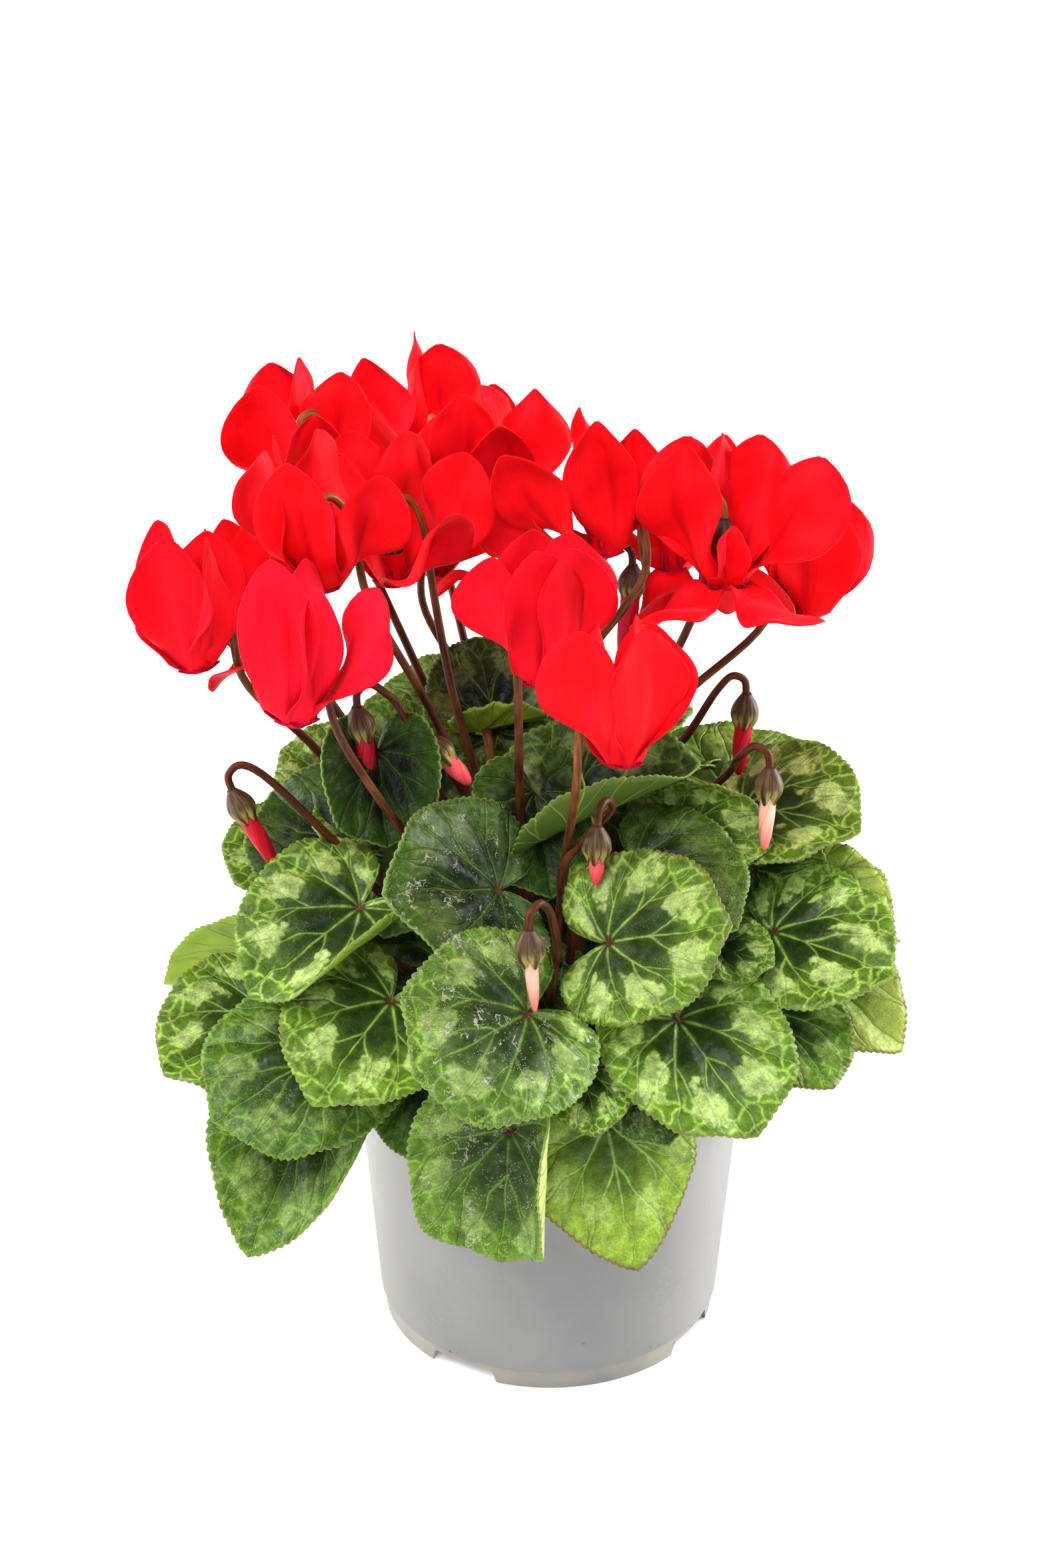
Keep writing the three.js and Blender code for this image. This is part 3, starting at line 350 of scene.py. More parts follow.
def through(points, steps):
    """A centripetal curve through all the points, with the same number of steps between each two."""
    points = [np.asarray(p, float) for p in points]
    ends = [2 * points[0] - points[1], *points, 2 * points[-1] - points[-2]]
    curve = []
    for a, b, c, d in zip(ends, ends[1:], ends[2:], ends[3:]):
        gaps = [math.sqrt(np.linalg.norm(q - p)) for p, q in ((a, b), (b, c), (c, d))]
        leave = ((b - a) / gaps[0] - (c - a) / (gaps[0] + gaps[1]) + (c - b) / gaps[1]) * gaps[1]
        arrive = ((c - b) / gaps[1] - (d - b) / (gaps[1] + gaps[2]) + (d - c) / gaps[2]) * gaps[1]
        curve += [cubic(b, c, leave, arrive, t) for t in np.arange(steps) / steps]
    return np.array([*curve, points[-1]])


def outline_curve(points, count):
    """Evenly spaced points along the smooth curve through the given ones."""
    points = np.array([points[0], *points, points[-1]], float)
    t = np.linspace(0, 1, 40, endpoint=False)[:, None]
    fine = [cubic(b, c, (c - a) / 2, (d - b) / 2, t)
            for a, b, c, d in zip(points, points[1:], points[2:], points[3:])]
    fine = np.vstack([*fine, points[-1:]])
    length = np.concatenate([[0], np.cumsum(np.linalg.norm(np.diff(fine, axis=0), axis=1))])
    wanted = np.linspace(0, length[-1], count)
    return np.stack([np.interp(wanted, length, fine[:, k]) for k in (0, 1)], axis=1)


def even(points, value):
    """The same value at every point."""
    return np.full(points.shape[:2], value)


# Pieces

def only(piece):
    """Selects the piece alone and makes it the one that operators act on."""
    bpy.ops.object.select_all(action="DESELECT")
    piece.select_set(True)
    bpy.context.view_layer.objects.active = piece


@contextmanager
def editing(piece):
    """Edit mode on the piece alone, with all of its mesh selected."""
    only(piece)
    bpy.ops.object.mode_set(mode="EDIT")
    bpy.ops.mesh.select_all(action="SELECT")
    yield
    bpy.ops.object.mode_set(mode="OBJECT")


def named(piece, name):
    piece.name = name
    piece.data.name = name
    return piece


def grid_piece(name, points, place, values=None, meet=0.01):
    """A flat grid, each of its points taken to its place in mm, with the points that meet made one.

    points: rows x columns x 3. place: the surface map, rows x columns x 2. values: point attributes by name.
    """
    rows, columns = points.shape[:2]
    bpy.ops.mesh.primitive_grid_add(x_subdivisions=columns - 1, y_subdivisions=rows - 1, size=1)
    piece = named(bpy.context.object, name)
    mesh = piece.data
    mesh.vertices.foreach_set("co", (points.reshape(-1, 3) * MM).astype(np.float32).ravel())
    corners = np.empty(len(mesh.loops), dtype=np.int32)
    mesh.loops.foreach_get("vertex_index", corners)
    mesh.uv_layers[0].name = "place"
    mesh.uv_layers[0].data.foreach_set("uv", place.reshape(-1, 2)[corners].astype(np.float32).ravel())
    for key, value in (values or {}).items():
        value = np.asarray(value, np.float32)
        kind, field = ("FLOAT_VECTOR", "vector") if value.ndim == 3 else ("FLOAT", "value")
        mesh.attributes.new(key, kind, "POINT").data.foreach_set(field, value.ravel())
    mesh.shade_smooth()
    if meet:
        with editing(piece):
            bpy.ops.mesh.remove_doubles(threshold=meet * MM)
    return piece


def joined(name, pieces, finish=None):
    """The pieces made one, with its finish where they have none yet."""
    only(pieces[0])
    for piece in pieces[1:]:
        piece.select_set(True)
    bpy.ops.object.join()
    if finish:
        bpy.context.object.data.materials.append(finish)
    return named(bpy.context.object, name)


def apply_modifier(piece, kind, **settings):
    only(piece)
    modifier = piece.modifiers.new(kind.title(), kind)
    for key, value in settings.items():
        setattr(modifier, key, value)
    bpy.ops.object.modifier_apply(modifier=modifier.name)


def finish_piece(piece, slot, *nodes):
    """The piece rides on the plant's one body and stands for its plain solids; its slot is not used."""
    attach(piece, "root")
    if nodes:
        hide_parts(*nodes)
    return piece


def tube_grid(path, radii, sides):
    """Rings of points round a path, closed at both ends, and their map (times round, mm along)."""
    path = np.asarray(path, float)
    tangents = np.gradient(path, axis=0)
    tangents /= np.linalg.norm(tangents, axis=1)[:, None]
    side = np.cross(tangents[0], [0, 0, 1] if abs(tangents[0][2]) < 0.9 else [1, 0, 0])
    angle = np.linspace(0, 2 * math.pi, sides + 1)
    rings = [np.repeat(path[:1], sides + 1, axis=0)]
    for middle, ahead, radius in zip(path, tangents, radii):
        side = unit(side - ahead * np.dot(side, ahead))
        other = np.cross(ahead, side)
        rings.append(middle + radius * (np.outer(np.cos(angle), side) + np.outer(np.sin(angle), other)))
    rings.append(np.repeat(path[-1:], sides + 1, axis=0))
    length = np.concatenate([[0, 0], np.cumsum(np.linalg.norm(np.diff(path, axis=0), axis=1))])
    length = np.append(length, length[-1])
    place = np.stack(np.meshgrid(angle / (2 * math.pi), length), axis=2)
    return np.array(rings), place


def turned_grid(profile, columns, at, axis, shape=None):
    """A turned shape about an axis at a point, from rows of (radius, height along the axis), in mm.

    shape: changes (radius, height) of each point by its angle, all rows x columns.
    """
    profile = np.asarray(profile, float)
    angle = np.linspace(0, 2 * math.pi, columns + 1)
    radius = np.repeat(profile[:, :1], columns + 1, axis=1)
    height = np.repeat(profile[:, 1:], columns + 1, axis=1)
    angle = np.repeat(angle[None, :], len(profile), axis=0)
    if shape:
        radius, height = shape(radius, height, angle)
    side = unit(np.cross([0, 1, 0], axis))
    other = np.cross(axis, side)
    points = (np.asarray(at, float) + radius[..., None] * (np.cos(angle)[..., None] * side
              + np.sin(angle)[..., None] * other) + height[..., None] * axis)
    return points, np.stack([angle / (2 * math.pi), height], axis=2)


# Leaf blades

def blade_frame(leaf):
    """Along the midrib, to its left, and out of the upper face."""
    rise = math.radians(leaf.rise)
    along = sideways(leaf.heading) * math.cos(rise) + np.array([0, 0, math.sin(rise)])
    left = turned(sideways(leaf.heading + 90), along, leaf.roll)
    return along, left, np.cross(along, left)


def blade_points(leaf, x, y, relief=0.0):
    """Places of a blade, given along and across it at length 1, after its fold, curl, bend and waves."""
    along, left, out = blade_frame(leaf)
    forward_run, width = x * leaf.size, np.abs(y) * leaf.size
    fold = math.radians(leaf.fold)
    curl = np.radians(np.where(y > 0, leaf.curl[0], leaf.curl[1])) / (0.63 * leaf.size)
    curl = np.where(np.abs(curl) < 1e-6, 1e-6, curl)
    side = (np.sin(fold + curl * width) - math.sin(fold)) / curl
    lift = (math.cos(fold) - np.cos(fold + curl * width)) / curl
    round_ = np.arctan2(y, x - LEAF_CENTRE)
    lift = lift + leaf.wave * (x ** 2 + y ** 2) * np.sin(WAVES_ROUND_LEAF * round_ + leaf.heading) + relief
    bend = math.radians(leaf.bend) / leaf.size + 1e-6
    forward = np.sin(bend * forward_run) / bend + lift * np.sin(bend * forward_run)
    height = (np.cos(bend * forward_run) - 1) / bend + lift * np.cos(bend * forward_run)
    return (np.asarray(leaf.at, float) + forward[..., None] * along
            + (side * np.sign(y))[..., None] * left + height[..., None] * out)


def blade_normal(leaf, x, y):
    step = 0.5 / leaf.size
    x, y = np.array([x]), np.array([y])
    ahead = blade_points(leaf, x + step, y) - blade_points(leaf, x - step, y)
    aside = blade_points(leaf, x, y + step) - blade_points(leaf, x, y - step)
    return unit(np.cross(ahead[0], aside[0]))


def leaf_rim(teeth):
    """The toothed rim, from the tip round by the left lobe, the notch and the right lobe, back to the tip."""
    half = outline_curve(LEAF_OUTLINE, POINTS_PER_TOOTH * teeth // 2 + 1)
    rim = np.vstack([half, half[-2::-1] * [1, -1]])
    number = np.arange(len(rim))
    tooth = TOOTH_DEPTH * (0.3 - np.cos(2 * math.pi * number / POINTS_PER_TOOTH))
    tooth = tooth * (1 + 0.4 * np.sin(2.3 * number)) * smooth(np.abs(rim[:, 1]), 0.02, 0.08)
    ray = rim - [LEAF_CENTRE, 0]
    length = np.linalg.norm(ray, axis=1)[:, None]
    return ray / length * (length + tooth[:, None]) + [LEAF_CENTRE, 0]


def leaf_blade(name, leaf, number, teeth=LEAF_TEETH, rings=BLADE_RINGS):
    """One blade: rings from the rim to its centre, quilted between the veins, given its thickness."""
    rim = leaf_rim(teeth)
    ring = np.linspace(0, 1, rings + 1) ** 0.8
    reach = np.repeat(ring[::-1, None], len(rim), axis=1)
    flat = reach[..., None] * (rim[None] - [LEAF_CENTRE, 0]) + [LEAF_CENTRE, 0]
    x, y = flat[..., 0], flat[..., 1]
    near_tip = smooth(x, 0.6, 1)
    x, y = x - leaf.blunt * near_tip, y * (1 + 1.5 * leaf.blunt * smooth(x, 0.4, 0.85))
    radius = np.hypot(x, y)
    sector = np.abs(np.arctan2(y, x)) * (1 + VEIN_SWEEP * radius) / VEIN_SPACING
    quilt = QUILT_HEIGHT * np.sin(math.pi * sector) ** 2 * smooth(radius, 0.06, 0.35) * (1 - 0.6 * reach)
    phase = 1.7 * number
    angle = np.arctan2(y, x - LEAF_CENTRE)
    ruffle = RUFFLE_HEIGHT * reach ** 4 * np.sin(9 * angle + phase) * np.sin(4 * angle + 0.6 * phase)
    ruffle += RUFFLE_HEIGHT * reach ** 2 * np.sin(3 * angle + 2.1 * phase)
    stem_seat = -STEM_SEAT_DEPTH * np.exp(-((radius / STEM_SEAT) ** 2))
    points = blade_points(leaf, x, y, quilt + ruffle + stem_seat)
    place = np.stack([(x + 0.4) / 1.5, (y + 0.75) / 1.5], axis=2)
    yellow, silver, wear, red_edge = leaf.look
    values = {
        "look": np.stack([even(x, yellow), even(x, silver), even(x, wear)], axis=2),
        "trim": np.stack([even(x, red_edge), even(x, 3.7 * number), reach], axis=2),
    }
    piece = grid_piece(name, points, place, values)
    for material in (LEAF_UPPER, LEAF_UNDERSIDE, LEAF_EDGE):
        piece.data.materials.append(material)
    apply_modifier(piece, "SOLIDIFY", thickness=BLADE_THICKNESS * MM, offset=0, material_offset=1,
                   material_offset_rim=2)
    return piece


# Stems

def crown_point(level):
    """A point a little under the top of the corm, where a stem is rooted."""
    share = np.linalg.norm(level) / CORM_RADIUS
    return np.array([level[0], level[1],
                     CORM_CENTRE + CORM_HALF_HEIGHT * math.sqrt(1 - share * share) - ROOT_DEPTH])


def stalk(name, path, radii, tone, variant):
    points, place = tube_grid(path, radii, STEM_SIDES)
    rise = np.repeat(np.linspace(0, tone, len(points))[:, None], STEM_SIDES + 1, axis=1)
    return grid_piece(name, points, place, {"rise": rise, "variant": even(points, variant)})


def petiole(leaf, number):
    """The stalk of a leaf, from the crown to the blade's underside just inside the notch."""
    normal = blade_normal(leaf, STEM_SEAT, 0.0)
    seat = blade_points(leaf, np.array([STEM_SEAT]), np.array([0.0]))[0]
    end = seat - normal * (CAD_BLADE_THICKNESS / 2 + GAP)
    outward = unit(np.array([end[0], end[1], 0]))
    root = crown_point(outward * (PETIOLE_RING - PETIOLE_RING_SLOPE * (end[2] - CROWN_HEIGHT)))
    span = np.linalg.norm(end - root)
    rising = root + outward * 0.22 * span + np.array([0, 0, 0.32 * span + leaf.arch])
    arriving = end - normal * 0.3 * span
    path = bezier([root, rising, arriving, end + normal * GAP], PETIOLE_STEPS)
    share = np.linspace(0, 1, len(path))
    radii = PETIOLE_RADIUS * (1 + 0.35 * np.exp(-share * 18) + 0.3 * smooth(share, 0.9, 1))
    return stalk(f"petiole_{number:02d}", path, radii, PETIOLE_TONE, 2.3 * number)


def head_axis(lean):
    """The direction from the nose of a bloom or the tip of a bud to its calyx, tilted towards a heading."""
    tilt, towards = lean
    return turned(UPWARDS, sideways(towards + 90), tilt)


def pedicel(mouth, axis, stem, via, flanked, number):
    """The stalk of a flower: it rises beside the head, hooks over it and comes down into the calyx."""
    away = level_to(axis, stem)

    def beside(up, out):
        return mouth + axis * up + away * out

    hook = [beside(12, 8.6), beside(15.4, 5), beside(14, 1.2), beside(CALYX_HEIGHT - 1, 0)]
    flank = [beside(-14, 12), beside(4, 11)] if flanked else []
    root = crown_point(np.array([mouth[0], mouth[1], 0]) * PEDICEL_SPREAD)
    path = through([root, *via, *flank, *hook], PEDICEL_STEPS)
    share = np.linspace(0, 1, len(path))
    radii = PEDICEL_RADIUS * (0.93 + 0.3 * np.exp(-share * 18) - 0.13 * smooth(share, 0.1, 0.6)
                              + 0.12 * smooth(share, 0.93, 1))
    tone = BLOOM_STALK_TONE if flanked else BUD_STALK_TONE
    return stalk(f"pedicel_{number:02d}", path, radii, tone, 1.9 * number + 40)


def calyx(mouth, axis, number):
    """The five sepals round the foot of the petals: a turnip shape with pointed tips that hug the petals."""
    turn = 0.37 * number

    def sepals(radius, height, angle):
        fifth = SEPALS * angle / (2 * math.pi) + turn
        across = np.abs(2 * (fifth - np.floor(fifth)) - 1)
        cut = 0.7 + 1.9 * across ** 1.6
        height = np.where(height < 3.3, 3.3 + (height - 3.3) * (5.5 - 1.5 * cut) / 5.5, height)
        groove = 1 - 0.07 * smooth(across, 0.7, 1) * smooth(-height, -9, -5)
        ridge = 1 + 0.025 * smooth(-across, -0.12, 0)
        return CALYX_SLIMNESS * radius * groove * ridge, height

    points, place = turned_grid(CALYX_PROFILE, HEAD_SIDES, mouth, axis, sepals)
    place[..., 0] = SEPALS * place[..., 0] + turn
    piece = grid_piece(f"calyx_{number:02d}", points, place, {"variant": even(points, 5.3 * number)})
    apply_modifier(piece, "SOLIDIFY", thickness=CALYX_THICKNESS * MM, offset=-1)
    return piece


# Blooms and buds

def petal_spine(nose, axis, place, heading, flare, length):
    """From inside the throat over the mouth's rim and up, in mm, with each point's share of the petal."""
    base, out = level_to(axis, place), level_to(axis, heading)

    def towards(angle, length):
        angle = math.radians(angle)
        return out * length * math.sin(angle) + axis * length * math.cos(angle)

    rim = nose + base * 4.8 - axis * 0.3
    tip = rim + towards(flare, length)
    belly = rim + towards(flare + PETAL_BELLY, 0.5 * length)
    share = 1 - np.linspace(1, 0, PETAL_STEPS + 1)[1:] ** 1.35
    t = share[:, None]
    rising = (1 - t) ** 2 * rim + 2 * t * (1 - t) * belly + t ** 2 * tip
    throat = np.array([nose + base * 2.5 + axis * 5, nose + base * 2.8 + axis * 2.6,
                       nose + base * 3.2 + axis * 0.5, nose + base * 3.9 - axis * 0.7,
                       nose + base * 4.7 - axis * 0.75])
    share = np.concatenate([[-0.16, -0.1, -0.04, -0.015, 0], share])
    return np.vstack([throat, rising]), share, base, out


def petal(name, nose, axis, place, row, number, tint):
    """One petal: rows across its spine, cupped, lapped over the next, creased, billowed, bent on a fold line
    and waved.
    """
    heading, flare, turn, wide, long = row
    spine, share, base, out = petal_spine(nose, axis, place, heading, flare, long * PETAL_LENGTH)
    tangents = np.gradient(spine, axis=0)
    dice = np.random.default_rng(100 + number)
    pointed = np.clip(dice.normal(0.24, 0.36), 0, 1)
    rounded_width = np.interp(share, *np.array(PETAL_BASE + ROUND_TIP).T)
    pointed_width = np.interp(share, *np.array(PETAL_BASE + POINTED_TIP).T)
    widths = rounded_width * (1 - pointed) + pointed_width * pointed
    lopsided = dice.normal(0, 0.11)
    curl_back = dice.uniform(-0.4, 1.6)
    rolled, rolled_side, fold_line = dice.uniform(-2.5, 4.5), dice.choice([-1, 1]), dice.uniform(-0.35, 0.35)
    columns = np.linspace(-1, 1, PETAL_COLUMNS)
    off_fold = np.abs(columns - fold_line)
    phase = 2.1 * number
    points = []
    for middle, ahead, along, width in zip(spine, tangents, share, widths):
        ahead = unit(ahead)
        risen = smooth(along, -0.02, 0.1)
        outward = unit(base * (1 - risen) + out * risen)
        across = np.cross(axis, outward)
        across = unit(across - ahead * np.dot(across, ahead))
        across = turned(across, ahead, turn * smooth(along, 0.1, 0.7))
        face = np.cross(across, ahead)
        half = width * PETAL_WIDTH / 2 * (1 + (wide - 1) * smooth(along, 0, 0.3))
        opened = smooth(along, 0.15, 0.5)
        round_cone = half ** 2 / (2 * (5 + 22 * max(along, 0))) * (1 - opened)
        lap = PETAL_LAP * columns * smooth(along, -0.02, 0.04) * (1 - smooth(along, 0.3, 0.6))
        cup = PETAL_CUP * width * (1 - columns ** 2) * opened + round_cone * columns ** 2 - lap
        margin = np.abs(columns) ** 3 * smooth(along, 0.25, 0.6)
        wave = PETAL_WAVE * margin * np.sin(9 * along + phase + 1.5 * columns)
        wave = wave + curl_back * margin * columns ** 2
        crease = PETAL_CREASE * np.exp(-(columns / 0.14) ** 2) * smooth(along, 0, 0.12)
        crease = crease * (1 - 0.6 * smooth(along, 0.7, 1))
        billow = PETAL_BILLOW * np.sin(2.2 * columns + 4 * along + phase) * smooth(along, 0.1, 0.5)
        roll = rolled * smooth(columns * rolled_side, 0.25, 1) * opened * (1 - smooth(along, 0.75, 1))
        fold = PETAL_FOLD * off_fold * smooth(along, 0.08, 0.35) * (1 - 0.7 * smooth(along, 0.6, 0.95))
        side = columns * (1 + lopsided * columns * smooth(along, 0.1, 0.5)) * half
        sway = PETAL_SWAY * math.sin(3.4 * along + phase) * smooth(along, 0.2, 0.8)
        flat_tip = 1 - 0.92 * smooth(along, 0.8, 1)
        lift = (-cup + wave + crease + billow + roll + fold - PETAL_SINK) * flat_tip
        points += [middle + across * (shift + sway) + face * low for shift, low in zip(side, lift)]
    points = np.array(points).reshape(len(spine), len(columns), 3)
    along = share[:, None]
    # Painted shade: darker along the fold line, on the rolled-up side and at the overlapped sides of the foot
    fold_shade = 0.7 * np.exp(-(off_fold / 0.16) ** 2) * smooth(along, 0.05, 0.3)
    fold_shade = fold_shade * (1 - smooth(along, 0.6, 0.95))
    roll_shade = smooth(abs(rolled), 1, 4) * smooth(columns * rolled_side, 0.35, 0.8)
    roll_shade = roll_shade * smooth(along, 0.15, 0.4)
    foot_shade = 0.9 * smooth(np.abs(columns), 0.55, 1) * (1 - smooth(along, 0.1, 0.5))
    place_map = np.stack(np.meshgrid((columns + 1) / 2, share), axis=2)
    values = {"variant": even(points, 1.3 * number), "painted_shade": fold_shade + roll_shade + foot_shade,
              "tint": even(points, tint)}
    return grid_piece(name, points, place_map, values, meet=0)


def petal_places(rows):
    """The petals stand evenly round the mouth, in the order of their headings."""
    rows = sorted((Petal(*row) for row in rows), key=lambda row: row.heading)
    pitch = 360 / len(rows)
    first = sum(row.heading - k * pitch for k, row in enumerate(rows)) / len(rows)
    return [(first + k * pitch, row) for k, row in enumerate(rows)]


def bloom_piece(bloom, number):
    """One bloom: its petals, the short tube behind them and the stigma in its mouth."""
    nose, axis = np.asarray(bloom.at, float), head_axis(bloom.lean)
    name = f"bloom_petals_{number:02d}"
    petals = [petal(f"{name}_{k}", nose, axis, place, row, 7 * number + k, bloom.tint)
              for k, (place, row) in enumerate(petal_places(bloom.petals))]
    petals = joined(name, petals)
    apply_modifier(petals, "SOLIDIFY", thickness=PETAL_THICKNESS * MM, offset=0)
    points, place = turned_grid(TUBE_PROFILE, 30, nose, axis)
    place[..., 1] = 0.04
    tube = grid_piece("tube", points, place, {"variant": even(points, 1.3 * number)})
    points, place = tube_grid(nose + np.outer([4, 2, 0.4, -0.6], axis), [0.4, 0.4, 0.38, 0.3], 8)
    place[..., 1] = -0.3
    stigma = grid_piece("stigma", points, place, {"variant": even(points, 0.0)})
    return joined(name, [petals, tube, stigma], PETAL)


def bud_piece(bud, number):
    """The closed petals of a bud, wound round each other into a pointed spindle."""
    long, wide = bud.spike
    share = np.linspace(1, 0, 30)
    radius = SPIKE_RADIUS * wide * np.interp(share, *np.array(SPIKE_PROFILE).T)
    height = -SPIKE_HEIGHT * long * share + 1.5 * (1 - share)
    wind = (1.3 + 0.35 * long) * share[:, None]

    def wound(radius, height, angle):
        fifth = BUD_PETALS * angle / (2 * math.pi) + wind
        ramp = fifth - np.floor(fifth)
        lap = 0.1 * smooth(ramp, 0, 0.12) * (1 - 0.75 * smooth(ramp, 0.12, 1)) - 0.05
        return radius * (1 + lap * smooth(share[:, None], 0.02, 0.2)), height

    spindle = np.stack([radius, height], axis=1)
    points, place = turned_grid(spindle, HEAD_SIDES, bud.at, head_axis(bud.lean), wound)
    place[..., 0] = BUD_PETALS * place[..., 0] + wind
    place[..., 1] = share[:, None]
    piece = grid_piece(f"bud_petals_{number:02d}", points, place, {"variant": even(points, 1.1 * number)})
    piece.data.materials.append(BUD[bud.tint])
    return piece


# Colours, as linear red, green and blue; BROWNS, GREENS and the like hold a darker and a lighter one

LEAF_HEART, LEAF_OUTER = (0.0042, 0.0158, 0.0058), (0.033, 0.096, 0.0095)
LEAF_YELLOWED = (0.172, 0.285, 0.012)
LEAF_PALE = (0.390, 0.450, 0.110)
VEIN_HALO = (0.050, 0.125, 0.012)
VEIN = (0.270, 0.400, 0.085)
VEIN_NET = (0.310, 0.460, 0.085)
SILVER_HAZE = (0.185, 0.285, 0.052)
SILVER_BLOB = (0.400, 0.525, 0.175)
NOTCH_RED = (0.055, 0.012, 0.006)
RIM_LIME = (0.180, 0.270, 0.040)
RIM_RUST = (0.170, 0.075, 0.018)
# Grey-green film of old leaves, partly a painted sheen
OLD_LEAF_FILM_AND_SHEEN = (0.120, 0.175, 0.060)
OLD_LEAF_CRUST = (0.46, 0.48, 0.36)
GRIT = (0.56, 0.56, 0.46)
UNDERSIDE_GREENS = (0.19, 0.30, 0.016), (0.30, 0.43, 0.022)
# Painted shade on the undersides of dark leaves
UNDERSIDE_PAINTED_SHADE = (0.060, 0.105, 0.022)
UNDERSIDE_CREAM = (0.47, 0.50, 0.19)
UNDERSIDE_VEIN = (0.34, 0.42, 0.09)
EDGE_GREEN, EDGE_RUST = (0.170, 0.260, 0.045), (0.17, 0.085, 0.026)
STEM_BROWNS = (0.038, 0.010, 0.004), (0.112, 0.034, 0.012)
STEM_OLIVES = (0.190, 0.064, 0.018), (0.400, 0.175, 0.050)
SEPAL_OLIVES = (0.052, 0.027, 0.011), (0.150, 0.100, 0.036)
SEPAL_FLANK = (0.40, 0.35, 0.085)
SEPAL_CROWN = (0.070, 0.026, 0.012)
SEPAL_STREAK = (0.030, 0.011, 0.006)
SEPAL_SEAM = (0.028, 0.009, 0.006)
SEPAL_RIDGE = (0.035, 0.013, 0.008)
PETAL_REDS = (0.70, 0.002, 0.006), (0.86, 0.006, 0.011)
PETAL_VEIN = (0.50, 0.0, 0.008)
PETAL_PINKER = (0.78, 0.010, 0.036)
# Dark red painted on the petals as shade in their folds and under their overlaps
PETAL_PAINTED_SHADE = (0.40, 0.0, 0.007)
PETAL_RIM = (0.60, 0.002, 0.012)
PETAL_BLUSH = (0.90, 0.014, 0.034)
PETAL_FOOT = (0.42, 0.0, 0.012)
PETAL_NOSE = (0.42, 0.0, 0.030)
PETAL_THROAT = (0.240, 0.0, 0.012)
POLLEN = (0.92, 0.20, 0.20)
# Body, tip and seams
BUD_COLOURS = {
    "red": ((0.50, 0.004, 0.024), (0.42, 0.003, 0.012), (0.22, 0.0, 0.010)),
    "coral": ((0.82, 0.120, 0.130), (0.78, 0.050, 0.070), (0.62, 0.035, 0.05)),
    "pale": ((0.86, 0.48, 0.38), (0.80, 0.21, 0.18), (0.72, 0.18, 0.14)),
}
PEAT_BROWNS, PEAT_FIBRE = ((0.014, 0.008, 0.005), (0.060, 0.034, 0.020)), (0.16, 0.085, 0.042)
FIBRE_BROWNS = (0.17, 0.075, 0.03), (0.36, 0.20, 0.09)
BARK_BROWNS, BARK_CRACK = ((0.05, 0.026, 0.014), (0.125, 0.070, 0.040)), (0.02, 0.010, 0.006)
PLASTIC_GREYS, PLASTIC_HAZE = ((0.166, 0.166, 0.171), (0.204, 0.203, 0.206)), (0.246, 0.245, 0.245)
PLASTIC_SCUFF = (0.40, 0.395, 0.39)
FOOT_STAIN = (0.300, 0.275, 0.220)
DIRT, CRUMB = (0.10, 0.075, 0.055), (0.060, 0.034, 0.018)
FLOOR_WHITE = (0.93, 0.93, 0.93)


# Finishes

